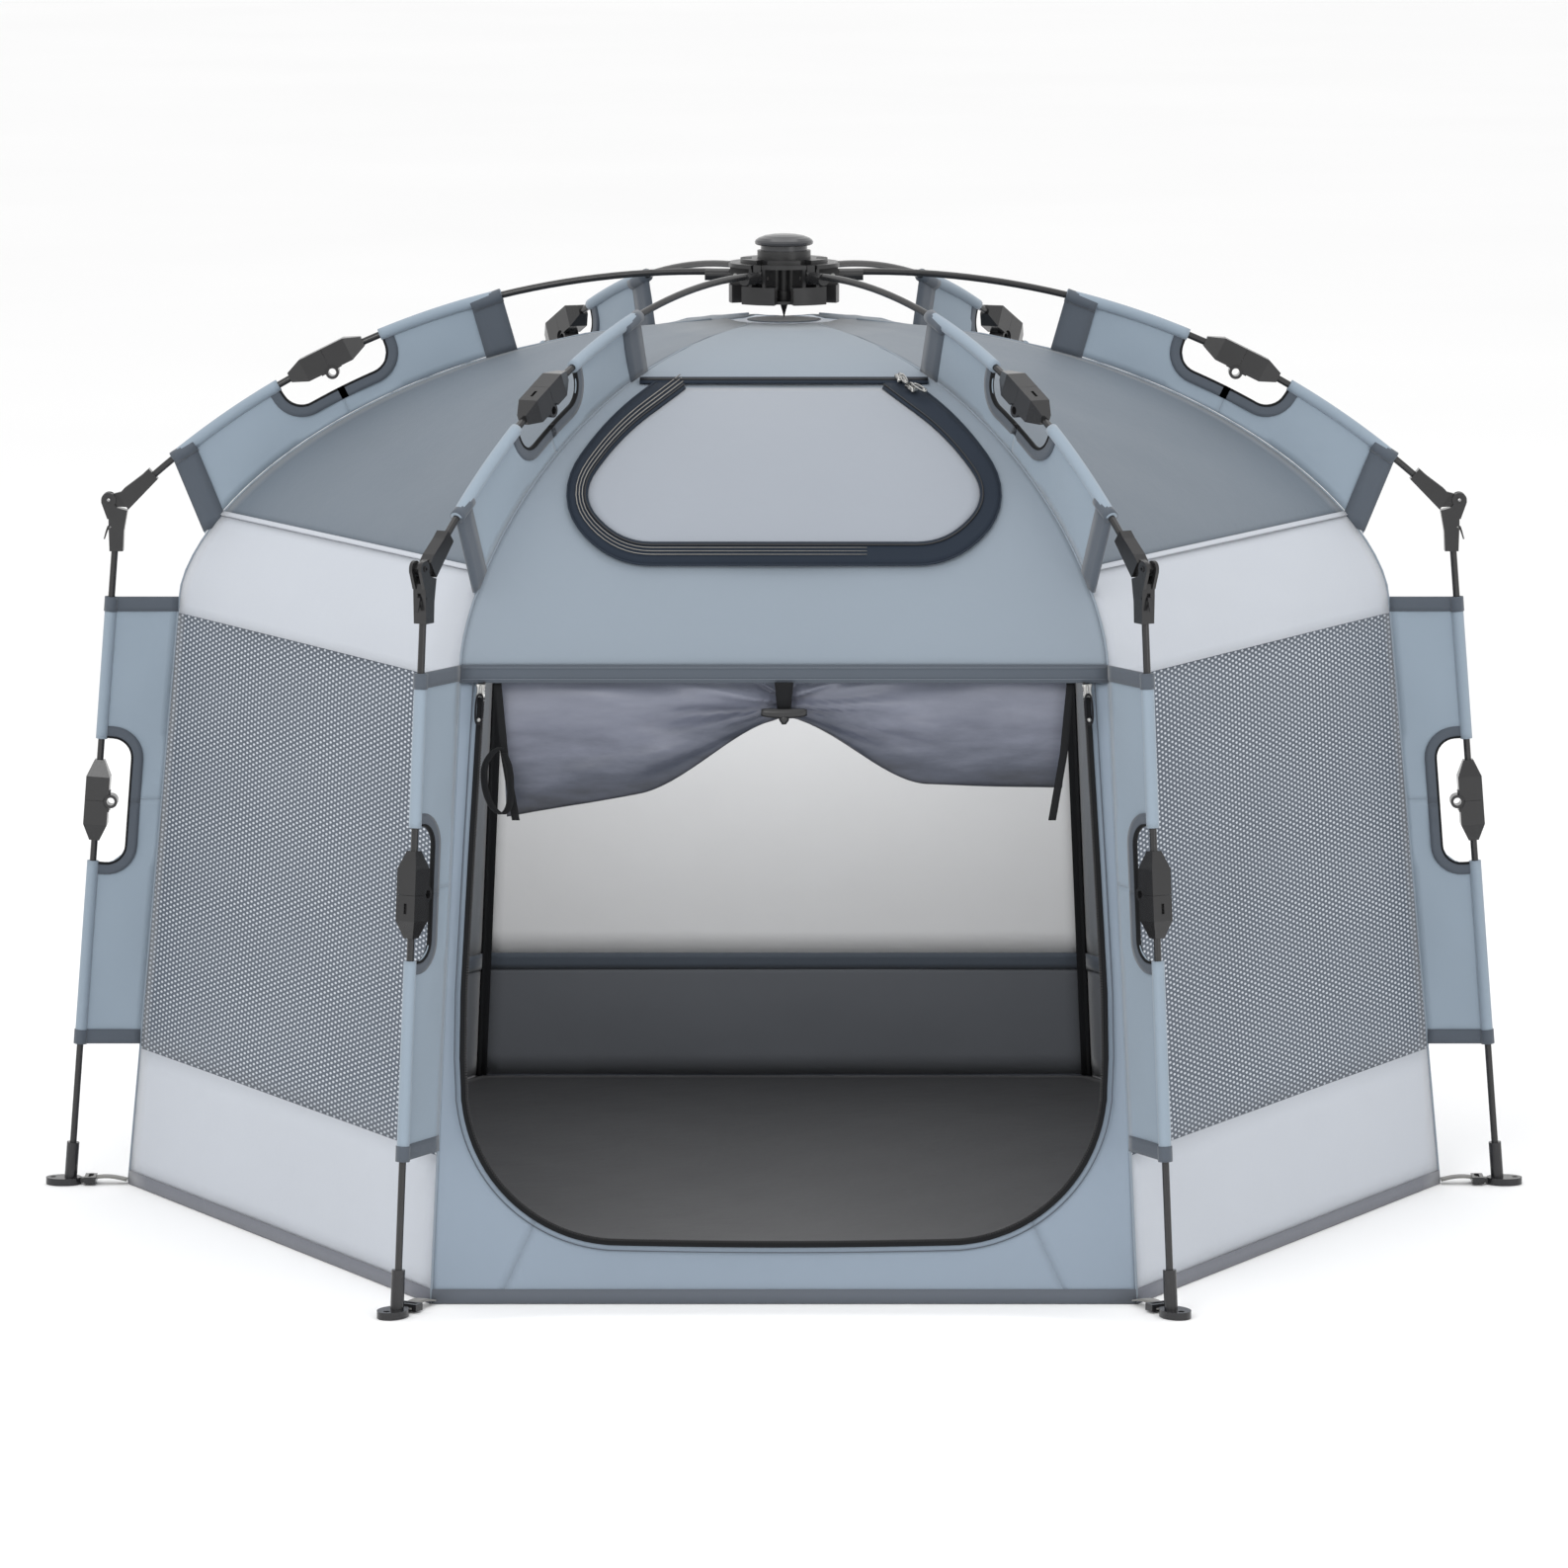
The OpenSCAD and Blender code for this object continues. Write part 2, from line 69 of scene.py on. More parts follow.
FLOOR_R = high("floor_mat").x + 0.003      # corner radius of the tent at the floor
MAT_T = high("floor_mat").z
BAND_Z = high("base_binding").z            # top of the band round the foot
SKIRT_Z = high("skirt_panels").z           # top of the skirt
MESH_Z = high("mesh_panels").z             # top of the mesh
EAVE_Z = high("eave_panels").z             # top of the eave panels
HEADER_Z = high("door_header").z           # top of the band over the door
PEAK_Z = high("roof_panels").z             # top of the roof

# corner seam of the roof: where it leaves the wall (distance from the middle, height), and its fullness
SEAM_FOOT = Vector((0.6218, 0.6154))
SEAM_FULL_R, SEAM_FULL_Z = 2.12, 1.58
SEAM_STEPS = 96

# frame lines in a radial plane: (distance from the middle, height)
ARCH_C, ARCH_R = Vector((0.0883, 0.0989)), 0.8512
LEG_A, LEG_B = Vector((0.688, 0.666)), Vector((0.7395, 0.040))
ARCH_HINGE_R, LEG_HINGE_Z = 0.469, 0.404


def smooth_curve(points, per=8):
    """Catmull-Rom curve through points, the first and last doubled."""
    pts = [Vector(p) for p in points]
    pts = [2 * pts[0] - pts[1]] + pts + [2 * pts[-1] - pts[-2]]
    out = []
    for i in range(1, len(pts) - 2):
        a, b, c, d = pts[i - 1:i + 3]
        for k in range(per):
            t = k / per
            out.append(0.5 * (2 * b + (c - a) * t + (2 * a - 5 * b + 4 * c - d) * t * t
                              + (3 * b - 3 * c + d - a) * t ** 3))
    return out + [pts[-2]]


def roof_seam(angle):
    """Corner seam of the roof, a superellipse: the wall at 0, the peak at a right angle."""
    rise = PEAK_Z - SEAM_FOOT.y
    return Vector((SEAM_FOOT.x * math.cos(angle) ** (2 / SEAM_FULL_R),
                   SEAM_FOOT.y + rise * math.sin(angle) ** (2 / SEAM_FULL_Z)))


SEAM = [Vector((FLOOR_R, 0.0))] + [roof_seam(math.pi / 2 * k / SEAM_STEPS) for k in range(SEAM_STEPS + 1)]
SEAM_R = np.array([p.x for p in SEAM])
SEAM_Z = np.array([p.y for p in SEAM])


def seam_r(z):
    return float(np.interp(z, SEAM_Z, SEAM_R))


def seam_normal(z):
    """Outward direction of a face at height z: (horizontal, vertical)."""
    e = 0.002
    lo, hi = max(z - e, 0), min(z + e, PEAK_Z)
    n = Vector((hi - lo, -(seam_r(hi) - seam_r(lo)) * COS30))
    return n.normalized()


def face_axes(k):
    a = (k + 0.5) * SECTOR
    return Vector((math.cos(a), math.sin(a), 0)), Vector((-math.sin(a), math.cos(a), 0))


def on_face(k, t, z, out=0.0):
    """A point on tent face k, t metres along it from its middle line, out metres proud."""
    n, tangent = face_axes(k)
    across, up = seam_normal(z)
    return n * (seam_r(z) * COS30 + out * across) + tangent * t + Vector((0, 0, z + out * up))


def in_rib(i, p, off=0.0):
    """A point of the radial plane of rib i, off metres to its side."""
    a = i * SECTOR
    return Vector((p[0] * math.cos(a) - off * math.sin(a), p[0] * math.sin(a) + off * math.cos(a), p[1]))


def arch_pt(r, inward=0.0):
    a = math.asin((r - ARCH_C.x) / ARCH_R)
    return ARCH_C + (ARCH_R - inward) * Vector((math.sin(a), math.cos(a)))


def leg_pt(z, inward=0.0):
    run = LEG_B - LEG_A
    p = LEG_A + run * (LEG_A.y - z) / (LEG_A.y - LEG_B.y)
    out = Vector((-run.y, run.x)).normalized()
    return p - out * inward


# ---- materials ----

def srgb(r, g, b):
    def lin(c):
        c /= 255
        return c / 12.92 if c <= 0.04045 else ((c + 0.055) / 1.055) ** 2.4
    return (lin(r), lin(g), lin(b), 1.0)


def scaled(colour, k):
    return tuple(min(1.0, c * k) for c in colour[:3]) + (1.0,)


class Shader:
    """One procedural material, built node by node."""

    def __init__(self, name, colour, rough=0.7, **sockets):
        self.mat = bpy.data.materials.new(name)
        self.mat.use_nodes = True
        self.tree = self.mat.node_tree
        self.bsdf = self.tree.nodes["Principled BSDF"]
        self.bsdf.inputs["Base Color"].default_value = colour
        self.bsdf.inputs["Roughness"].default_value = rough
        for key, value in sockets.items():
            self.bsdf.inputs[key.replace("_", " ")].default_value = value
        self.height = None

    def node(self, kind, **values):
        n = self.tree.nodes.new(kind)
        for key, value in values.items():
            setattr(n, key, value)
        return n

    def link(self, a, b):
        self.tree.links.new(a, b)

    def coords(self, output="UV"):
        return self.node("ShaderNodeTexCoord").outputs[output]

    def math(self, op, a, b=None, c=None):
        n = self.node("ShaderNodeMath", operation=op)
        for k, v in enumerate((a, b, c)):
            if v is None:
                continue
            if isinstance(v, (int, float)):
                n.inputs[k].default_value = v
            else:
                self.link(v, n.inputs[k])
        return n.outputs[0]

    def split(self, vector):
        n = self.node("ShaderNodeSeparateXYZ")
        self.link(vector, n.inputs[0])
        return n.outputs

    def noise(self, scale, detail=3.0, rough=0.5, output="Object", stretch=None):
        vector = self.coords(output)
        if stretch:
            m = self.node("ShaderNodeMapping")
            m.inputs["Scale"].default_value = stretch
            self.link(vector, m.inputs["Vector"])
            vector = m.outputs[0]
        n = self.node("ShaderNodeTexNoise")
        n.inputs["Scale"].default_value = scale
        n.inputs["Detail"].default_value = detail
        n.inputs["Roughness"].default_value = rough
        self.link(vector, n.inputs["Vector"])
        return n.outputs["Fac"]

    def ramp(self, fac, stops):
        n = self.node("ShaderNodeValToRGB")
        ramp = n.color_ramp
        while len(ramp.elements) < len(stops):
            ramp.elements.new(0.5)
        for e, (at, colour) in zip(ramp.elements, stops):
            e.position, e.color = at, colour
        self.link(fac, n.inputs[0])
        return n.outputs[0]

    def colour(self, socket):
        self.link(socket, self.bsdf.inputs["Base Color"])

    def bump(self, height, strength=0.3, distance=0.001):
        n = self.node("ShaderNodeBump")
        n.inputs["Strength"].default_value = strength
        n.inputs["Distance"].default_value = distance
        self.link(height, n.inputs["Height"])
        if self.height is not None:
            self.link(self.height, n.inputs["Normal"])
        self.height = n.outputs[0]
        self.link(self.height, self.bsdf.inputs["Normal"])

    def weave(self, pitch):
        """Plain weave height, 0 to 1, from UVs in metres."""
        u, v, _ = self.split(self.coords())
        k = math.tau / pitch
        su = self.math("SINE", self.math("MULTIPLY", u, k))
        sv = self.math("SINE", self.math("MULTIPLY", v, k))
        return self.math("MULTIPLY_ADD", self.math("MULTIPLY", su, sv), 0.5, 0.5)


def fabric(name, colour, weave=0.0011, mottle=0.05, rough=0.75, sheen=0.25, creases=0.0, gloss=0.5):
    """Woven cloth: thread pattern, slow colour drift, soft sheen and shallow creases."""
    s = Shader(name, colour, rough, Sheen_Weight=sheen, Sheen_Roughness=0.5, Specular_IOR_Level=gloss)
    thread = s.weave(weave)
    drift = s.noise(3.5, 4.0, 0.55)
    tone = s.math("ADD", s.math("MULTIPLY", drift, 0.8), s.math("MULTIPLY", thread, 0.2))
    s.colour(s.ramp(tone, [(0.25, scaled(colour, 1 - mottle)), (0.75, scaled(colour, 1 + mottle))]))
    s.bump(thread, 0.25, 0.0003)
    s.bump(s.noise(9.0, 5.0, 0.6), 0.3 + creases, 0.004)
    return s.mat


def mesh_fabric(name, cell, hole, pitch_u=0.0147, pitch_v=0.0051):
    """Knitted mesh seen whole: rows of small pale holes, every second row shifted by half a pitch."""
    s = Shader(name, cell, 0.8, Sheen_Weight=0.2)
    u, v, _ = s.split(s.coords())

    def lattice(shift):
        a = s.math("SUBTRACT", s.math("FRACT", s.math("ADD", s.math("DIVIDE", u, pitch_u), shift)), 0.5)
        b = s.math("SUBTRACT", s.math("FRACT", s.math("ADD", s.math("DIVIDE", v, pitch_v), shift)), 0.5)
        a2 = s.math("MULTIPLY", s.math("MULTIPLY", a, a), 1.8)
        b2 = s.math("MULTIPLY", b, b)
        return s.math("SQRT", s.math("ADD", a2, b2))

    d = s.math("MINIMUM", lattice(0.0), lattice(0.5))
    drift = s.math("MULTIPLY", s.noise(4.0, 3.0), 0.05)
    fac = s.math("ADD", d, drift)
    s.colour(s.ramp(fac, [(0.21, hole), (0.29, cell)]))
    s.bump(d, 0.4, 0.001)
    return s.mat


def moulded(name, colour, rough=0.42, grain=900.0, worn=1.5):
    """Moulded plastic: fine spark-eroded grain, a duller drift and slightly paler worn spots."""
    s = Shader(name, colour, rough, Specular_IOR_Level=0.5)
    drift = s.noise(35.0, 4.0, 0.6)
    s.colour(s.ramp(drift, [(0.3, colour), (0.62, scaled(colour, 1.15)), (0.8, scaled(colour, worn))]))
    s.bump(s.noise(grain, 2.0), 0.18, 0.0003)
    return s.mat


def metal(name, colour, rough=0.3):
    s = Shader(name, colour, rough, Metallic=1.0)
    s.bump(s.noise(400.0, 2.0, stretch=(1, 1, 12)), 0.12, 0.0002)
    s.colour(s.ramp(s.noise(60.0), [(0.3, scaled(colour, 0.85)), (0.7, scaled(colour, 1.1))]))
    return s.mat


LIGHT = fabric("light_fabric", srgb(180, 185, 193), mottle=0.03)
BLUE = fabric("blue_fabric", srgb(130, 143, 157), mottle=0.04)
FIN = fabric("fin_fabric", srgb(134, 148, 161), mottle=0.03)
GORE = fabric("front_gore_fabric", srgb(127, 138, 149), mottle=0.03)
SHEER = fabric("sheer_fabric", srgb(87, 99, 111), weave=0.0016, mottle=0.06, rough=0.6)
SLATE = fabric("slate_binding", srgb(70, 78, 88), weave=0.0014, mottle=0.08)
BAND = fabric("grey_band", srgb(101, 104, 113), weave=0.0014, mottle=0.06)
FRONT_BAND = fabric("front_band", srgb(82, 88, 97), weave=0.0014, mottle=0.06)
MESH = mesh_fabric("mesh_fabric", srgb(68, 78, 91), srgb(190, 196, 204))
# Inside faces of the walls and roof: one lining in lit and shaded copies, painted light on the back wall,
# painted shade on the sides and deeper painted shade inside the skirts.
IN_SIDE_PAINTED_SHADE = fabric("inner_side_painted_shade", srgb(112, 116, 121), mottle=0.05)
IN_BACK_PAINTED_LIGHT = fabric("inner_back_painted_light", srgb(232, 232, 232), mottle=0.03)
IN_SKIRT_PAINTED_SHADE = fabric("inner_skirt_painted_shade", srgb(96, 99, 104), mottle=0.06)
MAT = fabric("floor_fabric", srgb(37, 37, 39), weave=0.0018, mottle=0.12, rough=0.6, sheen=0.1, creases=0.2)
STITCH = fabric("stitching", srgb(92, 100, 110), mottle=0.1)
BLACK_TAPE = fabric("black_tape", srgb(22, 23, 25), weave=0.0012, mottle=0.2, rough=0.85,
                    sheen=0.03, gloss=0.2)
NAVY = fabric("window_border_fabric", srgb(30, 39, 51), weave=0.0012, mottle=0.15, sheen=0.03, gloss=0.2)
FLAP_WINDOW = fabric("window_flap_fabric", srgb(142, 148, 157), mottle=0.03)
COIL = moulded("zip_coil", srgb(18, 18, 20), 0.5)
COIL_GREY = moulded("zip_coil_grey", srgb(118, 116, 112), 0.5)
WEBBING = fabric("webbing", srgb(118, 117, 114), weave=0.0016, mottle=0.1)
HINGE_ROD = moulded("rod_plastic", srgb(34, 34, 35), 0.2)
HUB = moulded("hub_plastic", srgb(30, 30, 31), 0.33)
CAP = moulded("cap_plastic", srgb(56, 57, 60), 0.18)
FOOT = moulded("foot_plastic", srgb(33, 33, 35), 0.26)
STEEL = metal("pin_steel", srgb(170, 170, 168))
SILVER = metal("slider_metal", srgb(170, 170, 168), 0.35)
BLACK_METAL = metal("black_slider_metal", srgb(40, 40, 42), 0.35)


def satin():
    """Smooth lining cloth of the door flap: broad soft sheen, with painted shade that darkens it deeper into
    the roll to near black, and stretched noise painting lighter and darker patches as fold highlights and
    shade.
    """
    colour = srgb(122, 125, 138)
    s = Shader("flap_satin_painted_shade", colour, 0.42, Sheen_Weight=0.4, Sheen_Roughness=0.35)
    # stretched noise: painted highlight and painted shade patches of the folds
    fold = s.noise(14.0, 4.0, 0.6, stretch=(1, 1, 4))
    _, v, _ = s.split(s.coords())
    depth = s.math("DIVIDE", v, 0.112)
    tone = s.math("ADD", depth, s.math("MULTIPLY_ADD", fold, 0.5, -0.25))
    # painted shade: the colour darkens from the roll's front down to near black at its bottom and inside
    s.colour(s.ramp(tone, [(0.10, srgb(120, 124, 137)), (0.42, srgb(98, 102, 116)),
                           (0.68, srgb(60, 65, 78)), (0.90, srgb(22, 25, 33))]))
    s.bump(s.weave(0.0008), 0.12, 0.0002)
    s.bump(s.noise(26.0, 4.0), 0.35, 0.004)
    return s.mat


SATIN_PAINTED_SHADE = satin()


# ---- mesh helpers ----

def new_object(name, verts, faces, mats, uvs=None, smooth=True):
    me = bpy.data.meshes.new(name)
    me.from_pydata([tuple(v) for v in verts], [], faces)
    me.update()
    if uvs is not None:
        layer = me.uv_layers.new(name="UVMap")
        for loop in me.loops:
            layer.data[loop.index].uv = uvs[loop.vertex_index]
    for m in (mats if isinstance(mats, (list, tuple)) else [mats]):
        me.materials.append(m)
    for p in me.polygons:
        p.use_smooth = smooth
    obj = bpy.data.objects.new(name, me)
    bpy.context.scene.collection.objects.link(obj)
    return obj


def grid(name, point, nu, nv, mats, uv=None, keep=None):
    """A surface of (nu+1) x (nv+1) points, point(i/nu, j/nv); keep(u, v) drops cells."""
    verts, uvs, faces = [], [], []
    for j in range(nv + 1):
        for i in range(nu + 1):
            u, v = i / nu, j / nv
            verts.append(point(u, v))
            uvs.append(uv(u, v) if uv else (u, v))
    for j in range(nv):
        for i in range(nu):
            if keep and not keep((i + 0.5) / nu, (j + 0.5) / nv):
                continue
            a = j * (nu + 1) + i
            faces.append((a, a + 1, a + nu + 2, a + nu + 1))
    if keep:
        used = sorted({i for face in faces for i in face})
        place = {i: n for n, i in enumerate(used)}
        verts, uvs = [verts[i] for i in used], [uvs[i] for i in used]
        faces = [tuple(place[i] for i in face) for face in faces]
    return new_object(name, verts, faces, mats, uvs)


def weld(obj, distance=1e-5):
    bm = bmesh.new()
    bm.from_mesh(obj.data)
    bmesh.ops.remove_doubles(bm, verts=bm.verts, dist=distance)
    bm.to_mesh(obj.data)
    bm.free()


def thicken(obj, thickness, offset=-1.0, inner=False):
    m = obj.modifiers.new("thickness", "SOLIDIFY")
    m.thickness, m.offset = thickness, offset
    m.use_even_offset = False
    if inner:
        m.material_offset = 1
    return obj


def bevelled(obj, width, segments=2):
    m = obj.modifiers.new("bevel", "BEVEL")
    m.width, m.segments, m.limit_method, m.angle_limit = width, segments, "ANGLE", math.radians(40)
    return obj


def tube(name, path, radius, mat, sides=10, closed=False):
    """A closed round tube along path, capped at both ends."""
    pts = [Vector(p) for p in path]
    n = len(pts)
    verts, faces, uvs, run = [], [], [], 0.0
    side = None
    for k, p in enumerate(pts):
        if closed:
            d = (pts[(k + 1) % n] - pts[k - 1]).normalized()
        else:
            d = (pts[min(k + 1, n - 1)] - pts[max(k - 1, 0)]).normalized()
        if side is None:
            side = d.orthogonal().normalized()
        side = (side - d * side.dot(d)).normalized()
        other = d.cross(side)
        run += (p - pts[k - 1]).length if k else 0.0
        r = radius(k / (n - 1)) if callable(radius) else radius
        for s in range(sides):
            a = math.tau * s / sides
            verts.append(p + side * (r * math.cos(a)) + other * (r * math.sin(a)))
            uvs.append((a * 0.005, run))
    rings = n if closed else n - 1
    for k in range(rings):
        for s in range(sides):
            a, b = k * sides, ((k + 1) % n) * sides
            t = (s + 1) % sides
            faces.append((a + s, a + t, b + t, b + s))
    if not closed:
        faces.append(tuple(reversed(range(sides))))
        faces.append(tuple(range((n - 1) * sides, n * sides)))
    return new_object(name, verts, faces, mat, uvs)


def strip(name, centre, across, width, mat, thickness=0.0014, offset=0.0, start=0.0):
    """A flat ribbon along centre; across gives its side direction at each point."""
    verts, faces, uvs, run = [], [], [], 0.0
    n = len(centre)
    for k in range(n):
        run += (centre[k] - centre[k - 1]).length if k else 0.0
        w = width(k / (n - 1)) if callable(width) else width
        for s in range(4):
            f = start + s / 3 - 0.5
            verts.append(centre[k] + across[k] * (f * w))
            uvs.append((f * w, run))
    for k in range(n - 1):
        for s in range(3):
            a = k * 4 + s
            faces.append((a, a + 1, a + 5, a + 4))
    obj = new_object(name, verts, faces, mat, uvs)
    return thicken(obj, thickness, offset)


def rounded_box(name, size, centre, mat, radius=0.001, taper=None, rot=None):
    bm = bmesh.new()
    bmesh.ops.create_cube(bm, size=1.0)
    bmesh.ops.subdivide_edges(bm, edges=bm.edges, cuts=2, use_grid_fill=True)
    for v in bm.verts:
        co = v.co.copy()
        if taper:
            co.x *= taper(co.z + 0.5)
        v.co = Vector((co.x * size[0], co.y * size[1], co.z * size[2]))
        if rot:
            v.co = rot @ v.co
        v.co += Vector(centre)
    me = bpy.data.meshes.new(name)
    bm.to_mesh(me)
    bm.free()
    me.materials.append(mat)
    for p in me.polygons:
        p.use_smooth = True
    obj = bpy.data.objects.new(name, me)
    bpy.context.scene.collection.objects.link(obj)
    return bevelled(obj, radius, 3)


def uv_list(obj):
    return [tuple(d.uv) for d in obj.data.uv_layers[0].data]


def face_towards(obj, direction):
    """Turns the surface so that its outer side looks along direction."""
    total = sum((p.normal * p.area for p in obj.data.polygons), Vector())
    if total.dot(direction) < 0:
        obj.data.flip_normals()
    return obj


def cut_area(obj):
    """Flat area of a cloth's cut: its UV map is the pattern, laid out in metres."""
    pattern = obj.data.uv_layers[0].data
    total = 0.0
    for face in obj.data.polygons:
        corners = [pattern[i].uv for i in face.loop_indices]
        total += abs(sum(a.x * b.y - b.x * a.y for a, b in zip(corners, corners[1:] + corners[:1]))) / 2
    return total


def fold_away(obj):
    """Gives a tent cloth its own copy of its mesh."""
    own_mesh(obj)
    return obj


def tent_piece(obj, nodes=(), body="tent"):
    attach(obj, body)
    if nodes:
        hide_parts(*nodes)
    fold_away(obj)
    return obj


def cloth(obj, width, length):
    cut_area(obj)
    return obj


def face_cloth(obj, z0, z1):
    """A stretched panel of a tent face: its cut is the width at its foot by the length up the slope."""
    return cloth(obj, 2 * seam_r(z0) * SIN30, arc_length(z1) - arc_length(z0))


# ---- camera, light and floor ----

def studio():
    cam = bpy.data.objects.new("camera", bpy.data.cameras.new("camera"))
    cam.data.sensor_width, cam.data.lens = 36.0, 178.61
    target, distance, pitch = Vector((0, 0, 0.42007)), 8.036, math.radians(8.40)
    cam.location = target + distance * Vector((0, -math.cos(pitch), math.sin(pitch)))
    cam.rotation_euler = (target - cam.location).to_track_quat("-Z", "Y").to_euler()
    cam.data.clip_end = 200
    bpy.context.scene.collection.objects.link(cam)
    bpy.context.scene.camera = cam

    world = bpy.data.worlds.new("studio")
    world.use_nodes = True
    world.node_tree.nodes["Background"].inputs[0].default_value = (1, 1, 1, 1)
    world.node_tree.nodes["Background"].inputs[1].default_value = 1.0
    bpy.context.scene.world = world
    bpy.context.scene.view_settings.view_transform = "Standard"

    def lamp(name, at, aim, size, power):
        light = bpy.data.lights.new(name, "AREA")
        light.shape, light.size, light.energy = "DISK", size, power
        o = bpy.data.objects.new(name, light)
        o.location = at
        o.rotation_euler = (Vector(aim) - Vector(at)).to_track_quat("-Z", "Y").to_euler()
        bpy.context.scene.collection.objects.link(o)

    lamp("key", (-1.6, -4.8, 3.4), (0, 0, 0.4), 2.5, 80)
    lamp("fill", (3.2, -4.2, 1.6), (0, 0, 0.4), 3.0, 25)
    lamp("top", (0, 0.6, 5.0), (0, 0, 0.3), 4.0, 50)
    inside = bpy.data.lights.new("inside", "POINT")
    inside.energy, inside.shadow_soft_size = 12.0, 0.15
    o = bpy.data.objects.new("inside", inside)
    o.location = (0, -0.05, 0.62)
    bpy.context.scene.collection.objects.link(o)

    size = 60.0
    s = Shader("studio_floor", (0.97, 0.97, 0.97, 1), 0.9, Specular_IOR_Level=0.1)
    s.colour(s.ramp(s.noise(0.6), [(0.3, (0.96, 0.96, 0.96, 1)), (0.7, (0.98, 0.98, 0.98, 1))]))
    corners = [(-size, -size, 0), (size, -size, 0), (size, size, 0), (-size, size, 0)]
    floor = new_object("studio_floor", corners, [(0, 1, 2, 3)], s.mat, smooth=False)
    floor.location.z = -0.0005


studio()


# ---- tent walls and roof ----

def panel(name, k, z0, z1, mats, nu=24, nv=12, sag=0.004, out=0.0, crease=0.0, keep=None, thickness=0.0012):
    """Part of tent face k between two heights, drawn in a little between its seams."""
    length = z1 - z0

    def point(u, v):
        z = z0 + length * v
        t = (2 * u - 1) * (seam_r(z) * SIN30 - 0.0003)
        mid = (1 - (2 * u - 1) ** 2) * math.sin(math.pi * min(max(v, 0.08), 0.92))
        ripple = crease * math.sin(17 * u + 5 * v + k) * math.sin(9 * v + 3 * u) * mid
        return on_face(k, t, z, out - sag * mid + ripple)

    def uv(u, v):
        z = z0 + length * v
        return ((2 * u - 1) * seam_r(z) * SIN30 + 2.0, 1.0 + arc_length(z))

    obj = face_towards(grid(name, point, nu, nv, mats, uv, keep), face_axes(k)[0])
    return thicken(obj, thickness, -1.0, inner=len(mats) > 1)


def arc_length(z):
    """Distance along a face from the floor up to height z."""
    lengths = getattr(arc_length, "table", None)
    if lengths is None:
        steps = [math.hypot((SEAM_R[i] - SEAM_R[i - 1]) * COS30, SEAM_Z[i] - SEAM_Z[i - 1])
                 for i in range(1, len(SEAM_Z))]
        lengths = arc_length.table = np.concatenate([[0], np.cumsum(steps)])
    return float(np.interp(z, SEAM_Z, lengths))


def face_line(name, k, z, width, mat, out=0.001, inset=0.0, thickness=0.001):
    """A ribbon across face k at height z."""
    half = seam_r(z) * SIN30 - inset
    n = 24
    centre = [on_face(k, half * (2 * i / n - 1), z, out) for i in range(n + 1)]
    h, v = seam_normal(z)
    up = Vector((0, 0, h)) - face_axes(k)[0] * v
    return strip(name, centre, [up] * (n + 1), width, mat, thickness)


def walls():
    for k in range(RIBS):
        front = k == FRONT
        band = panel(f"base_band_{k}", k, 0.0, BAND_Z, [FRONT_BAND if front else BAND], 16, 2, 0, 0.0012)
        tent_piece(band, ["base_binding"])
        if front:
            face_cloth(band, 0.0, BAND_Z)
            continue
        # inside faces: painted light on the back wall, painted shade on the other walls, deeper painted shade
        # inside the skirts
        inner = IN_BACK_PAINTED_LIGHT if k == BACK else IN_SIDE_PAINTED_SHADE
        skirt = panel(f"skirt_{k}", k, BAND_Z * 0.5, SKIRT_Z, [LIGHT, IN_SKIRT_PAINTED_SHADE], 28, 6, 0.003, crease=0.0012)
        hem = face_line(f"inner_hem_{k}", k, SKIRT_Z - 0.006, 0.018, SLATE, out=-0.0035)
        tent_piece(skirt, ["skirt_panels"])
        tent_piece(hem)
        face_cloth(skirt, BAND_Z * 0.5, SKIRT_Z)
        mesh = panel(f"mesh_{k}", k, SKIRT_Z - 0.001, MESH_Z, [MESH, inner], 32, 16, 0.006)
        tent_piece(mesh, ["mesh_panels"])
        face_cloth(mesh, SKIRT_Z, MESH_Z)
        eave = panel(f"eave_{k}", k, MESH_Z, EAVE_Z, [LIGHT, inner], 28, 10, 0.004, crease=0.001)
        line = face_line(f"eave_seam_{k}", k, EAVE_Z, 0.005, LIGHT, out=0.0012)
        tent_piece(eave, ["eave_panels"])
        tent_piece(line)
        face_cloth(eave, MESH_Z, EAVE_Z)
        roof = panel(f"roof_{k}", k, EAVE_Z, PEAK_Z - 0.0012, [SHEER, IN_SIDE_PAINTED_SHADE], 28, 26, 0.006, crease=0.0008)
        tent_piece(roof, ["roof_panels"])
        face_cloth(roof, EAVE_Z, PEAK_Z)

    for i in range(RIBS):
        zs = np.linspace(0.002, SEAM_Z[-1] - 0.002, 60)
        seam = tube(f"corner_seam_{i}", [in_rib(i, (seam_r(z) + 0.0002, z)) for z in zs], 0.0013, GORE, 6)
        tent_piece(seam)
        zs = np.linspace(MAT_T, MESH_Z, 14)
        for side in (-1, 1):
            k = i if side > 0 else (i - 1) % RIBS
            _, tangent = face_axes(k)
            centre = [on_face(k, -side * (seam_r(z) * SIN30 - 0.005), z, -0.0042) for z in zs]
            name = f"inner_binding_{i}_{'ab'[side > 0]}"
            bind = strip(name, centre, [tangent] * len(zs), 0.008, BLACK_TAPE, 0.001)
            tent_piece(bind)

    patch_r = 0.038

    def spread(u, v):
        return patch_r * v * math.cos(math.tau * u), patch_r * v * math.sin(math.tau * u)

    disc = grid("apex_patch", lambda u, v: Vector((*spread(u, v), PEAK_Z - 0.0012 - 0.0008 * v * v)),
                48, 6, SLATE, spread)
    weld(disc)
    face_towards(disc, Vector((0, 0, 1)))
    thicken(disc, 0.001)
    tent_piece(disc)


walls()


# ---- roof window on the front gore ----

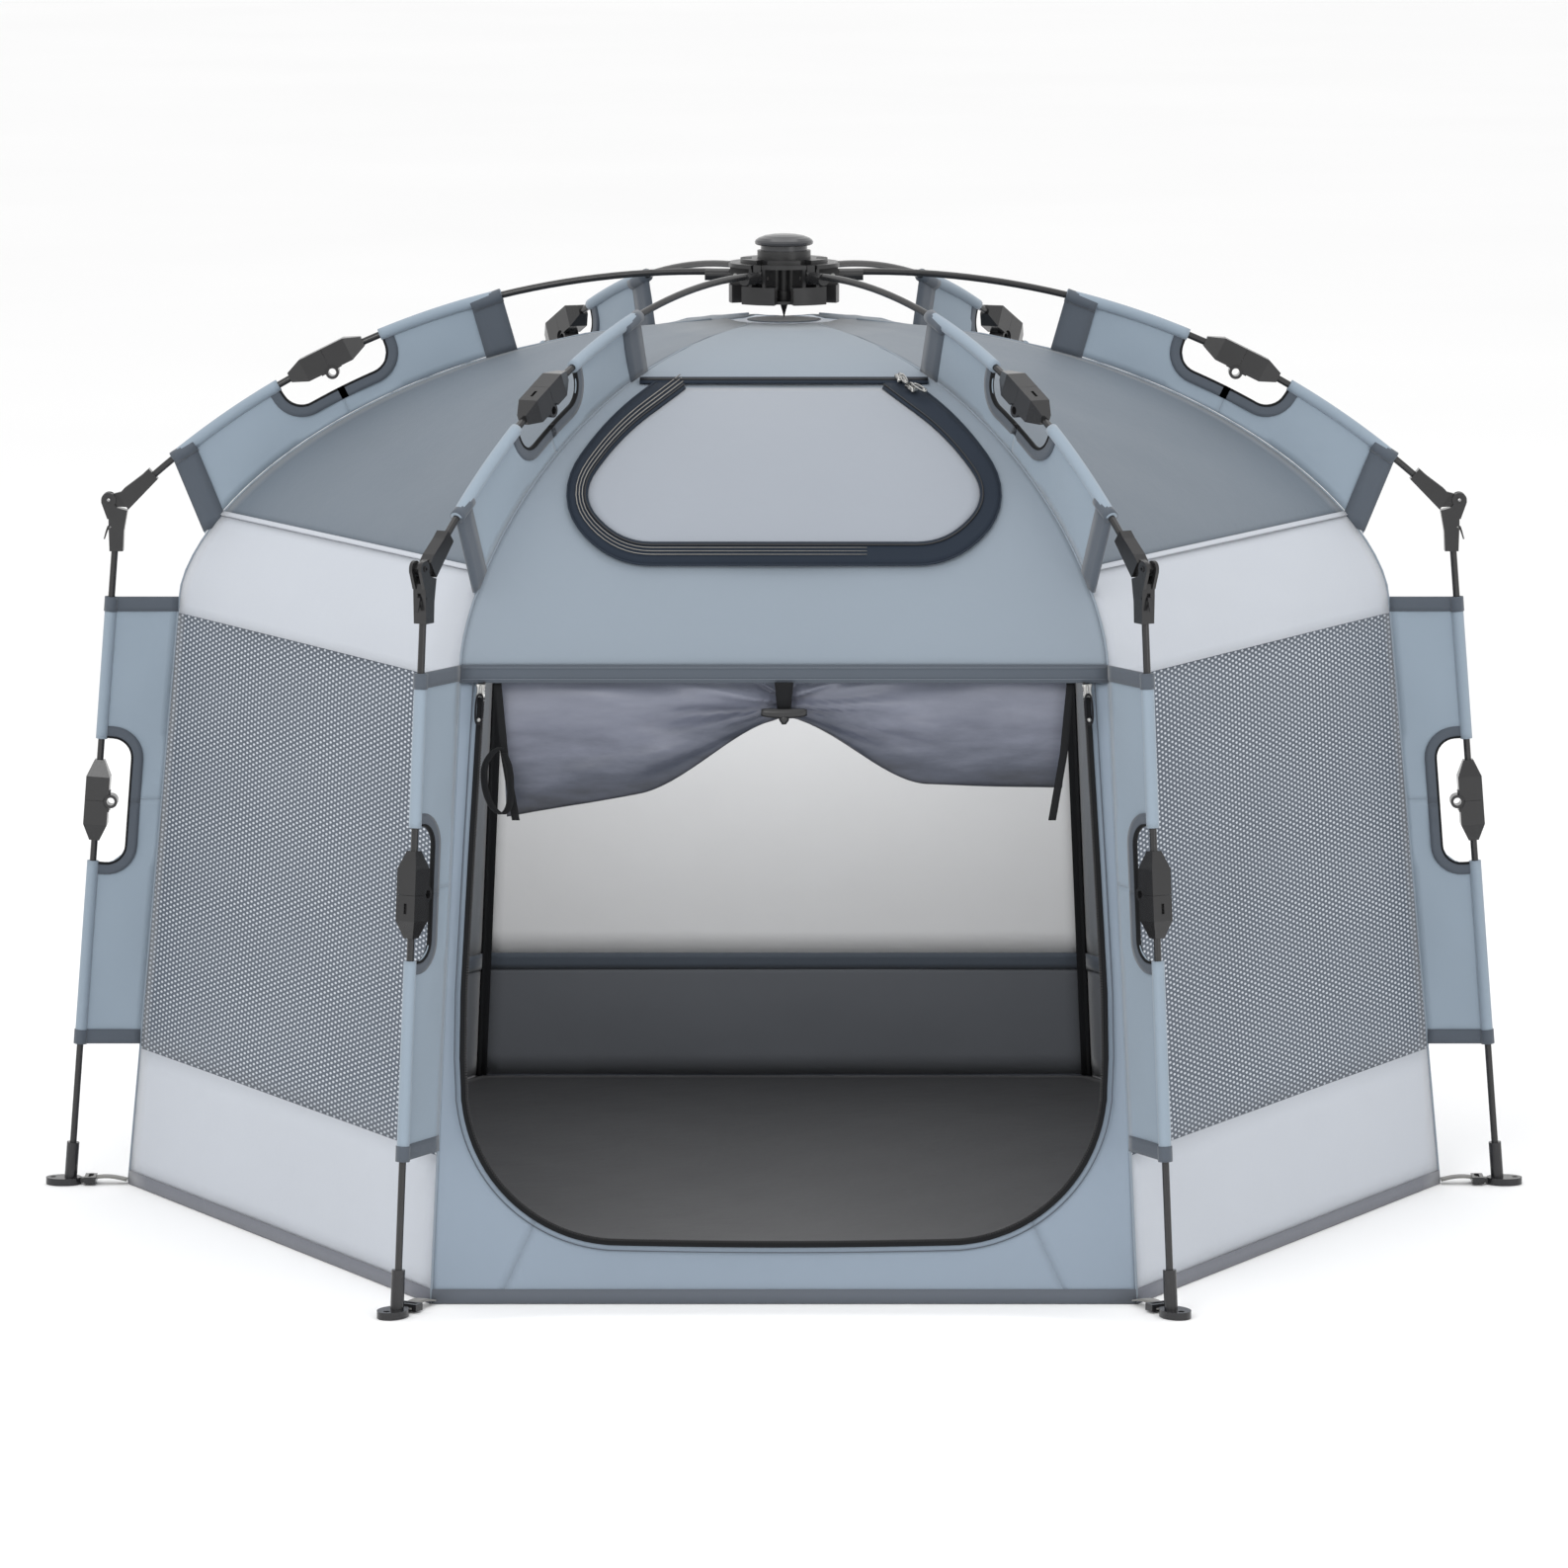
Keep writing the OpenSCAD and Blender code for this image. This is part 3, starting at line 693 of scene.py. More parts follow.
def rounded_path(corners, per=8):
    """An open path through corners (x, z, radius), each inner corner rounded off."""
    pts = [Vector(c[:2]) for c in corners]
    out = [pts[0]]
    for k in range(1, len(pts) - 1):
        p, r = pts[k], corners[k][2]
        a, b = (pts[k - 1] - p).normalized(), (pts[k + 1] - p).normalized()
        half = a.angle(b) / 2
        cut = min(r / math.tan(half), 0.49 * min((pts[k - 1] - p).length, (pts[k + 1] - p).length))
        s, e = p + a * cut, p + b * cut
        for q in range(per + 1):
            t = q / per
            out.append((1 - t) ** 2 * s + 2 * t * (1 - t) * p + t * t * e)
    return out + [pts[-1]]


def densify(path, step):
    out = [path[0]]
    for a, b in zip(path, path[1:]):
        n = max(1, int((b - a).length / step))
        out += [a.lerp(b, (q + 1) / n) for q in range(n)]
    return out


def normals_of(path):
    """Left-hand side directions of a planar path."""
    out = []
    for k in range(len(path)):
        d = (path[min(k + 1, len(path) - 1)] - path[max(k - 1, 0)]).normalized()
        out.append(Vector((-d.y, d.x)))
    return out


WINDOW_TOP = 0.8565
WINDOW_LINE = 0.8614                       # height of the straight zip over the window
WINDOW = [(-0.098, WINDOW_TOP, 0), (-0.160, 0.818, 0.30), (-0.202, 0.766, 0.060), (-0.158, 0.7245, 0.090),
          (0.158, 0.7245, 0.090), (0.202, 0.766, 0.060), (0.160, 0.818, 0.30), (0.098, WINDOW_TOP, 0)]


def front_pt(x, z, out):
    """A point of the front face from its x and height. The face's own tangent runs along +X."""
    return on_face(FRONT, x, z, out)


def inside_path(x, z, path):
    hit = False
    for a, b in zip(path, path[1:] + path[:1]):
        if (a.y > z) != (b.y > z) and x < a.x + (z - a.y) * (b.x - a.x) / (b.y - a.y):
            hit = not hit
    return hit


def roof_window():
    path = densify(rounded_path(WINDOW), 0.008)
    side = normals_of(path)
    z0, z1 = HEADER_Z - 0.002, PEAK_Z - 0.0012

    def hole(u, v):
        z = z0 + (z1 - z0) * v
        x = (2 * u - 1) * seam_r(z) * SIN30
        return not inside_path(x, z, path)

    # inside face of the gore in the painted-shade lining colour
    gore = panel("front_gore", FRONT, z0, z1, [GORE, IN_SIDE_PAINTED_SHADE], 90, 80, 0.004, crease=0.0008, keep=hole)
    tent_piece(gore, ["front_roof_panel"])

    def ring(name, lo, hi, mat, out, thickness=0.0012):
        """A strip between two offsets from the window's outline."""
        n = 4

        def point(u, v):
            k = min(int(round(u * (len(path) - 1))), len(path) - 1)
            p = path[k] - side[k] * (lo + (hi - lo) * v)
            return front_pt(p.x, min(p.y, WINDOW_LINE), out)
        obj = grid(name, point, len(path) - 1, n, mat, lambda u, v: (u * 1.1, v * (hi - lo)))
        thicken(obj, thickness, 0.0)
        return tent_piece(obj)

    border = ring("window_border", -0.0015, 0.0185, NAVY, 0.002, 0.001)
    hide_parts("window_zip")
    edge = ring("window_piping", 0.0180, 0.0194, NAVY, 0.0024, 0.001)
    trims = [border, edge]
    last = int(len(path) * 0.62)
    for q, off in enumerate((0.004, 0.007, 0.010)):
        line = [front_pt(*(path[k] - side[k] * off), 0.0034) for k in range(last)]
        coil = tube(f"window_coil_{q}", line, lambda t: 0.0007 * (1 - 0.6 * t), COIL_GREY, 6)
        trims.append(tent_piece(coil))
    inner = [front_pt(*(p - s * 0.0015), 0.0032) for p, s in zip(path, side)]
    trims.append(tent_piece(tube("window_zip_coil", inner, 0.0008, COIL, 8)))

    # flap, one taut panel with its outline on the border's inner edge
    cx, cz = 0.0, 0.785
    closed = path + densify([path[-1], path[0]], 0.008)[1:-1]

    def flap_point(u, v):
        k = int(round(u * len(closed))) % len(closed)
        p = Vector((cx, cz)).lerp(closed[k], v)
        lift = 0.0035 * (1 - v ** 4)
        return front_pt(p.x, p.y, 0.001 + lift)

    def flap_uv(u, v):
        k = int(round(u * len(closed))) % len(closed)
        p = Vector((cx, cz)).lerp(closed[k], v)
        return (p.x, arc_length(p.y))
    flap = grid("window_cloth", flap_point, len(closed), 18, FLAP_WINDOW, flap_uv)
    weld(flap)
    face_towards(flap, Vector((0, -1, 0)))
    thicken(flap, 0.001)
    tent_piece(flap, ["window_flap"])
    cloth(flap, 0.375, arc_length(WINDOW_TOP) - arc_length(0.7235))

    half, lean = 0.143, Vector((0, 0.9, 0.4)).normalized()
    line = [front_pt(half * (2 * i / 30 - 1), WINDOW_LINE, 0.0022) for i in range(31)]
    tape = strip("window_top_tape", line, [lean] * 31, 0.012, NAVY)
    teeth = tube("window_top_coil", [p + Vector((0, 0, 0.001)) for p in line], 0.0012, COIL, 8)
    trims += [tent_piece(tape), tent_piece(teeth)]
    face_cloth(gore, z0, z1)


roof_window()


def joined(name, objs):
    """One object from several, each keeping its materials; modifiers are applied first."""
    deps = bpy.context.evaluated_depsgraph_get()
    bm = bmesh.new()
    mats = []
    for o in objs:
        me = bpy.data.meshes.new_from_object(o.evaluated_get(deps))
        me.transform(o.matrix_world)
        base = len(mats)
        mats += list(me.materials)
        for p in me.polygons:
            p.material_index += base
        bm.from_mesh(me)
        bpy.data.meshes.remove(me)
    me = bpy.data.meshes.new(name)
    bm.to_mesh(me)
    bm.free()
    for m in mats:
        me.materials.append(m)
    obj = bpy.data.objects.new(name, me)
    bpy.context.scene.collection.objects.link(obj)
    for o in objs:
        bpy.data.objects.remove(o)
    return obj


def pull_slider(name, at, down, face_dir, body_mat, tab_mat, length=0.031, width=0.009, scale=1.0):
    """A zip slider and its hanging tab. down is the tab's direction, face_dir points out of the cloth."""
    down, face_dir = down.normalized(), face_dir.normalized()
    side = down.cross(face_dir).normalized()
    rot = Matrix((side, face_dir, -down)).transposed()
    at = Vector(at)
    size = (0.009 * scale, 0.0045 * scale, 0.013 * scale)
    body = rounded_box(name + "_body", size, at + face_dir * 0.004 * scale, body_mat, 0.0016 * scale,
                       lambda t: 0.72 + 0.42 * abs(2 * t - 1), rot)
    bridge = tube(name + "_bridge", [at + face_dir * (0.006 + 0.0022 * math.sin(math.pi * t / 8)) * scale
                                     + down * (0.011 * t / 8 - 0.0055) * scale for t in range(9)],
                  0.0011 * scale, body_mat, 8)
    outline = []
    n = 40
    for q in range(n):
        a = math.tau * q / n
        x, y = math.cos(a), math.sin(a)
        outline.append(Vector((width / 2 * math.copysign(abs(x) ** 0.7, x),
                               length / 2 * math.copysign(abs(y) ** 0.7, y))))
    middle = at + face_dir * 0.0088 * scale + down * (length / 2 + 0.002)
    verts, faces = [], []
    for f in (1.0, 0.55):
        for p in outline:
            verts.append(middle + side * (p.x * f) - down * (p.y * (1 - (1 - f) * 0.35)))
    for q in range(n):
        r = (q + 1) % n
        faces.append((q, r, n + r, n + q))
    tab = new_object(name + "_tab", verts, faces, tab_mat)
    thicken(tab, 0.0018 * scale, 0.0)
    bevelled(tab, 0.0005)
    pin_at = middle + down * (length * 0.33)
    pin = tube(name + "_pin", [pin_at + face_dir * (0.0018 * t - 0.0018) * scale for t in range(3)],
               0.0019 * scale, body_mat, 12)
    return joined(name, [body, bridge, tab, pin])


def window_pulls():
    lo, hi = low("window_sliders"), high("window_sliders")
    pulls = []
    for q, x in enumerate((lo.x + 0.001, hi.x - 0.002)):
        z = 0.8600 - 0.0075 * q
        n_h, n_v = seam_normal(z)
        out = Vector((0, -n_h, n_v))
        slope = Vector((0.25 + 0.5 * q, -n_v, -n_h))
        at = front_pt(x, z, 0.003)
        pulls.append(pull_slider(f"window_pull_{q}", at, slope, out, SILVER, SILVER, 0.021, 0.0065, 1.0))
    obj = joined("window_pull_pair", pulls)
    tent_piece(obj, ["window_sliders"], body="window_pulls")


window_pulls()


# ---- door ----
DOOR_TOP = MESH_Z
SILL = 0.060
DOOR_HALF = 0.290


def door_outline():
    """U-shaped doorway edge from its top left, down, along the sill and up to the top right."""
    corner, widest = 0.150, 0.308
    left = [(-DOOR_HALF, DOOR_TOP), (-widest, 0.300)]
    arc = [(-widest + corner * (1 - math.cos(a)), SILL + corner * (1 - math.sin(a)))
           for a in np.linspace(0, math.pi / 2, 15)]
    sill = [(x, SILL - 0.002 * math.cos(math.pi * x / 0.32)) for x in (-0.1, -0.05, 0.0)]
    half = [Vector(p) for p in left + arc + sill]
    return half + [Vector((-p.x, p.y)) for p in reversed(half[:-1])]


DOOR = densify(smooth_curve(door_outline(), 2), 0.010)


def door_panel():
    centre = Vector((0, DOOR_TOP))
    z0 = BAND_Z * 0.5
    top_half = seam_r(DOOR_TOP) * SIN30 - 0.0004
    foot_half = seam_r(z0) * SIN30 - 0.0004

    def outer(d):
        """Where a ray from the middle of the door's top meets the edge of the face."""
        t = math.inf
        if d.y < -1e-9:
            t = (z0 - centre.y) / d.y
            if abs(centre.x + d.x * t) <= foot_half:
                return centre + d * t
        lean = (foot_half - top_half) / (DOOR_TOP - z0)
        s = math.copysign(1, d.x)
        t = top_half / (s * d.x + lean * d.y)
        return centre + d * t

    edge = []
    corner_dirs = [Vector((s * foot_half, z0 - centre.y)) for s in (-1, 1)]
    for k, p in enumerate(DOOR):
        edge.append(p)
        if k + 1 < len(DOOR):
            for c in corner_dirs:
                a0 = math.atan2(p.y - centre.y, p.x)
                a1 = math.atan2(DOOR[k + 1].y - centre.y, DOOR[k + 1].x)
                ac = math.atan2(c.y, c.x)
                if abs(p.x) > 1e-6 and min(a0, a1) < ac < max(a0, a1) and abs(a1 - a0) < 1:
                    edge.append(p.lerp(DOOR[k + 1], (ac - a0) / (a1 - a0)))
    rows = 10

    def at(u, v):
        k = int(round(u * (len(edge) - 1)))
        p = edge[k]
        d = p - centre
        far = centre + Vector((math.copysign(top_half, p.x), 0)) if d.y > -1e-6 else outer(d)
        return p.lerp(far, v)

    def point(u, v):
        q = at(u, v)
        wave = 0.0012 * math.sin(v * math.pi) * math.sin(23 * u)
        return front_pt(q.x, q.y, wave - 0.002 * math.sin(math.pi * v))

    # two jambs and the sill, sewn edge to edge
    last = len(edge) - 1
    cuts = [0] + [min(range(last + 1), key=lambda k: (edge[k] - Vector((x, SILL + 0.03))).length)
                  for x in (-0.235, 0.235)] + [last]
    made = []
    for name, a, b in zip(("door_jamb_left", "door_sill", "door_jamb_right"), cuts, cuts[1:]):
        def part(u, a=a, b=b):
            return (a + (b - a) * u) / last
        def pattern(u, v):
            q = at(part(u), v)
            return q.x, arc_length(q.y)
        # inside faces of the jambs and sill in the painted-shade lining colour
        obj = grid(name, lambda u, v: point(part(u), v), b - a, rows, [BLUE, IN_SIDE_PAINTED_SHADE], pattern)
        size = [max(p[c] for p in uv_list(obj)) - min(p[c] for p in uv_list(obj)) for c in (0, 1)]
        face_towards(obj, Vector((0, -1, 0)))
        thicken(obj, 0.0012, -1.0, inner=True)
        tent_piece(obj, ["door_panel"])
        made.append((obj, size))
    return made


def door_trim():
    """Zip tape, teeth and header round the doorway."""
    side = normals_of(DOOR)
    trims = []

    def edge_strip(name, off, width, out, mat, thickness=0.001):
        centre, across = [], []
        for p, s in zip(DOOR, side):
            q = p - s * off
            centre.append(front_pt(q.x, q.y, out))
            across.append((front_pt(*(q - s * 0.001), out) - centre[-1]).normalized())
        return strip(name, centre, across, width, mat, thickness)

    tape = edge_strip("door_tape", 0.0005, 0.0062, 0.0016, BLACK_TAPE)
    tent_piece(tape, ["door_zip"])
    stitch = edge_strip("door_stitch", 0.0085, 0.0012, 0.0014, SLATE, 0.0006)
    tent_piece(stitch)
    trims += [tape, stitch]

    # interlocking teeth: small blocks on alternate sides of the zip line
    verts, faces = [], []
    run, pitch = 0.0, 0.0026
    for k in range(len(DOOR) - 1):
        a, b = DOOR[k], DOOR[k + 1]
        seg = (b - a).length
        while run < seg:
            p = a.lerp(b, run / seg) + side[k] * 0.0022
            d = (b - a).normalized()
            base = len(verts)
            for dx in (-0.0013, 0.0013):
                for dd in (-0.0007, 0.0007):
                    for out in (0.0010, 0.0030):
                        q = p + side[k] * dx + d * dd
                        verts.append(front_pt(q.x, q.y, out))
            faces += [(base, base + 1, base + 3, base + 2), (base + 4, base + 6, base + 7, base + 5),
                      (base, base + 4, base + 5, base + 1), (base + 2, base + 3, base + 7, base + 6),
                      (base + 1, base + 5, base + 7, base + 3), (base, base + 2, base + 6, base + 4)]
            run += pitch
        run -= seg
    teeth = new_object("door_teeth", verts, faces, COIL, [(0, 0)] * len(verts), smooth=False)
    tent_piece(teeth)
    trims.append(teeth)

    header = panel("header_band", FRONT, MESH_Z - 0.0005, HEADER_Z, [SLATE], 40, 3, 0, 0.0026,
                   thickness=0.002)
    tent_piece(header, ["door_header"])
    stitch = {"width": 0.0009, "mat": STITCH, "out": 0.003, "inset": 0.002, "thickness": 0.0006}
    lower = face_line("header_stitch", FRONT, MESH_Z + 0.003, **stitch)
    upper = face_line("header_stitch_top", FRONT, HEADER_Z - 0.003, **stitch)
    return trims + [header, tent_piece(lower), tent_piece(upper)]


FLAP_W, FLAP_L = 0.57, 0.54    # the flap's cut, before it was gathered up


def door_flap():
    """The door flap, rolled up under the header in two swags and tied in the middle."""
    turns, z_top = 2.6, DOOR_TOP - 0.001
    y_face = -seam_r(z_top) * COS30
    half = DOOR_HALF - 0.018
    rng = random.Random(3)
    phase = [rng.uniform(0, math.tau) for _ in range(6)]

    def point(u, v):
        x = half * (2 * u - 1)
        a = abs(x) / half
        rise = min(1.0, a / 0.52)
        rise = rise * rise * (3 - 2 * rise)
        height = 0.038 + (0.052 * rise + 0.050 * a if x < 0 else 0.066 * rise + 0.006 * a)
        depth = 0.030 - 0.008 * a
        grow = 1 - 0.55 * v
        theta = math.tau * turns * v
        mid_z = z_top - height / 2
        y = y_face + 0.020 - grow * depth / 2 * math.sin(theta)
        z = mid_z + grow * height / 2 * math.cos(theta)
        x *= 1 - 0.12 * (z_top - z)
        # folds that run out of the tie
        tie = Vector((0.0, z_top - 0.022))
        bearing = math.atan2(z - tie.y, abs(x) + 0.012)
        reach = math.hypot(x, z - tie.y)
        s = 1 if x > 0 else -1
        fold = math.sin(15 * bearing + phase[0] * s + 14 * reach) * 0.6
        fold += math.sin(31 * bearing + phase[1] - 22 * reach) * 0.3
        fold += 0.5 * math.sin(42 * reach * s + phase[2] + 6 * bearing)
        strength = 0.0065 * math.exp(-((reach - 0.06) / 0.16) ** 2) + 0.0018
        y -= fold * strength * (0.4 + 0.6 * abs(math.sin(theta)))
        z += 0.003 * math.sin(9 * x / half + phase[3]) * (1 - math.cos(theta)) / 2 * a * (1 - a)
        # the deep crease under the header that the tie pulls in
        below = (z - (z_top - 0.026 - 0.018 * a)) / 0.007
        groove = math.exp(-below ** 2) * math.exp(-((a - 0.2) / 0.22) ** 2)
        y += 0.006 * groove * max(0.0, math.sin(theta))
        if a < 0.05:
            y += 0.004 * (1 - a / 0.05)
        return Vector((x, min(y, y_face + 0.045), min(z, z_top + 0.004)))

    obj = grid("flap_cloth", point, 200, 120, SATIN_PAINTED_SHADE, lambda u, v: (FLAP_W * u, FLAP_L * v))
    tent_piece(obj, ["door_flap"])
    return obj


def flap_trim():
    """Tapes on the flap's edges, the loop at its left end, and the tie with its toggle."""
    y_face = -seam_r(DOOR_TOP) * COS30
    trims = []
    for s in (-1, 1):
        ends = [Vector((s * 0.2755, DOOR_TOP)), Vector((s * 0.269, 0.530)), Vector((s * 0.258, 0.466))]
        path = densify(ends, 0.01)
        n = len(path)
        centre = [front_pt(p.x, p.y, -0.002) for p in path]
        tape = strip(f"flap_tape_{'lr'[s > 0]}", centre, [Vector((1, 0, 0))] * n, 0.0075, BLACK_TAPE, 0.0012)
        trims.append(tent_piece(tape))
    # hanging loop of tape at the left
    loop = [(-0.2720, 0.537), (-0.2800, 0.532), (-0.2870, 0.520), (-0.2880, 0.505),
            (-0.2850, 0.490), (-0.2785, 0.478), (-0.2700, 0.474), (-0.2640, 0.482),
            (-0.2625, 0.500), (-0.2640, 0.518), (-0.2690, 0.532)]
    pts = smooth_curve(loop, 5)
    n = len(pts)
    centre = [Vector((p.x, y_face - 0.008 - 0.09 * (0.6 - p.y) + 0.003 * math.sin(6 * i / n), p.y))
              for i, p in enumerate(pts)]
    across = Vector((0.72, -0.69, 0.1)).normalized()
    ribbon = strip("flap_loop", centre, [across] * n, 0.0085, BLACK_TAPE, 0.0014)
    trims.append(tent_piece(ribbon))
    # tie strap and toggle
    y0 = y_face - 0.004
    centre = [Vector((0.0, y0 - 0.004 * math.sin(math.pi * i / 12), DOOR_TOP - 0.026 * i / 12))
              for i in range(13)]
    strap = strip("tie_strap", centre, [Vector((1, 0, 0))] * 13, lambda t: 0.018 - 0.005 * t,
                  BLACK_TAPE, 0.0022)
    tent_piece(strap, ["door_tie"])
    bar = [Vector((-0.022 + 0.044 * i / 16, y0 - 0.004, 0.5705 - 0.001 * math.sin(math.pi * i / 16)))
           for i in range(17)]
    toggle = tube("tie_toggle", bar, lambda t: 0.0032 + 0.0018 * math.sin(math.pi * t) ** 0.5, HUB, 16)
    tent_piece(toggle)
    knob = tube("tie_knob", [Vector((0, y0 - 0.004, 0.569 - 0.010 * i / 8)) for i in range(9)],
                lambda t: 0.0022 + 0.0028 * math.sin(math.pi * min(t * 1.05, 1)), HUB, 14)
    tent_piece(knob)
    return trims + [strap, toggle, knob]


def door_pulls():
    for s, label in ((-1, "left"), (1, "right")):
        node = f"door_slider_{label}"
        lo, hi = low(node), high(node)
        x = (lo.x + hi.x) / 2
        at = Vector((x, hi.y - 0.001, hi.z - 0.007))
        down = Vector((s * 0.06, -0.085, -1))
        pull = pull_slider(f"door_pull_{label}_metal", at, down, Vector((0, -1, 0.08)), SILVER, BLACK_METAL)
        tent_piece(pull, [node], body=f"door_pull_{label}")


trims = door_trim()
for jamb, size in door_panel():
    cloth(jamb, size[0], size[1])
    trims = []
flap_obj = door_flap()
flap_bits = flap_trim()
cloth(flap_obj, FLAP_W, FLAP_L)
door_pulls()


# ---- floor ----

def floor_mat():
    radius = FLOOR_R - 0.004

    def spread(u, v):
        a = math.tau * u
        r = v * radius * COS30 / math.cos((a % SECTOR) - SECTOR / 2)
        return r * math.cos(a), r * math.sin(a)

    def point(u, v):
        x, y = spread(u, v)
        wrinkle = 0.0009 * math.sin(19 * x + 7 * y) * math.sin(13 * y - 5 * x + 1)
        wrinkle += 0.0005 * math.sin(47 * x) * math.sin(39 * y)
        return Vector((x, y, MAT_T - 0.0012 + wrinkle * (1 - v ** 8)))

    obj = grid("floor_mat_cloth", point, 144, 40, MAT, spread)
    weld(obj)
    face_towards(obj, Vector((0, 0, 1)))
    thicken(obj, MAT_T - 0.0016, -1.0)
    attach(obj, "tent")
    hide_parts("floor_mat")
    cloth(obj, 2 * FLOOR_R, 2 * FLOOR_R * COS30)


floor_mat()


# ---- webs between the poles and the tent ----

def web(name, i, outer, inner, v0, cols, rows, mat):
    """Cloth between an outer and an inner curve of a radial plane, from share v0 of its width."""
    def at(u, v):
        f = v0(u) + (1 - v0(u)) * v
        return outer(u).lerp(inner(u), f)

    def point(u, v):
        p = at(u, v)
        ripple = 0.0014 * math.sin(math.pi * v) * math.sin(9 * u + i)
        return in_rib(i, p, ripple)
    return thicken(grid(name, point, cols, rows, mat, lambda u, v: tuple(at(u, v))), 0.0012, 0.0)


def plane_strip(name, i, path, width, mat, thickness=0.003, shift=0.5):
    """A flat binding in a radial plane, along path; shift moves it to the path's left."""
    side = normals_of(path)
    centre = [in_rib(i, p + s * (width * (shift - 0.0) - width * 0.5)) for p, s in zip(path, side)]
    across = [(in_rib(i, s) - in_rib(i, Vector((0, 0)))).normalized() for s in side]
    return strip(name, centre, across, width, mat, thickness)


def half_notch(length, depth):
    """Depth of a round-cornered cut-out at distance x from its middle."""
    half = length / 2
    r = min(depth, half) * 0.62

    def at(x):
        if x >= half:
            return 0.0
        if x <= half - r:
            return depth
        return depth - r + math.sqrt(max(0.0, r * r - (x - half + r) ** 2))
    return at


def flatten_to(obj, i, anchor):
    """Gives a web its own copy of its mesh."""
    in_rib(i, anchor)
    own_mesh(obj)


SLEEVE_R = 0.0062
NOTCH_D = 0.033                            # depth of a cut-out round a hinge
ARCH_FIN, ARCH_FIN_INNER = (0.289, 0.627), (0.272, 0.594)   # ends on the pole and on the roof seam
LEG_FIN = (0.615, 0.148)                   # upper and lower end, heights
FOOT_LOOP_R = 0.728                        # where a strap meets its foot


def fin_half(kind, i, body, s_hinge, s_end, rod, seam, notch, band_w, node, first):
    """One half of a web, on one side of its folding hinge: cloth, sleeve, end band and cut-out binding."""
    cols = 40
    chord_a, chord_b = rod(s_hinge), rod(s_end)
    along = (chord_b - chord_a).normalized()
    total = (chord_b - chord_a).length
    inward = Vector((-along.y, along.x))
    if (seam(s_end) - chord_b).dot(inward) < 0:
        inward = -inward
    cut = half_notch(notch, NOTCH_D)

    def s_at(u):
        return s_hinge + (s_end - s_hinge) * u

    def v0(u):
        x = (rod(s_at(u)) - chord_a).length
        return cut(x) / (seam(s_at(u)) - rod(s_at(u))).length

    name = f"{kind}_fin_{i}_{body}"
    cloth_obj = web(name, i, lambda u: rod(s_at(u)), lambda u: seam(s_at(u)), v0, cols, 8, FIN)
    sleeve_from = (notch / 2 - 0.002) / total
    sleeve_line = [in_rib(i, rod(s_at(sleeve_from + (1 - sleeve_from) * q / 20))) for q in range(21)]
    sleeve = tube(name + "_sleeve", sleeve_line, SLEEVE_R, FIN, 14)
    hem_path = [rod(s_end).lerp(seam(s_end), q / 8) - along * band_w * 0.5 for q in range(9)]
    hem = plane_strip(name + "_hem", i, hem_path, band_w, SLATE, 0.0032)
    cuff_line = [in_rib(i, rod(s_end) - along * (band_w * (1 - q / 4))) for q in range(5)]
    cuff = tube(name + "_cuff", cuff_line, SLEEVE_R + 0.0009, SLATE, 14)
    half = notch / 2
    r = min(NOTCH_D, half) * 0.62
    start = [chord_a + inward * NOTCH_D + along * ((half - r) * q / 6) for q in range(6)]
    arc = [chord_a + along * (half - r + r * math.sin(t)) + inward * (NOTCH_D - r + r * math.cos(t))
           for t in np.linspace(0, math.pi / 2, 9)]
    tail = [chord_a + along * half + inward * (NOTCH_D - r) * (1 - q / 3) for q in range(1, 4)]
    sag = [p + bow(rod, chord_a, chord_b, p, s_hinge, s_end) for p in start + arc + tail]
    shift = 0.95 if Vector((-along.y, along.x)).dot(inward) > 0 else 0.05
    binding = plane_strip(name + "_binding", i, sag, 0.012, SLATE, 0.0034, shift)
    inner_line = plane_strip(name + "_piping", i, sag, 0.0022, BLACK_TAPE, 0.0042, 0.5)
    bits = [sleeve, hem, cuff, binding, inner_line]
    for o in [cloth_obj] + bits:
        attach(o, body)
        flatten_to(o, i, chord_a)
    if first:
        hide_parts(node)
    width = max((seam(s_at(u / 4)) - rod(s_at(u / 4))).length for u in range(5))
    cloth(cloth_obj, total * 1.02, width)
    return cloth_obj


def bow(rod, a, b, p, s0, s1):
    """How far the pole bows off its chord beside p."""
    t = max(0.0, min(1.0, (p - a).dot(b - a) / (b - a).length_squared))
    q = rod(s0 + (s1 - s0) * t)
    return q - a.lerp(b, t)


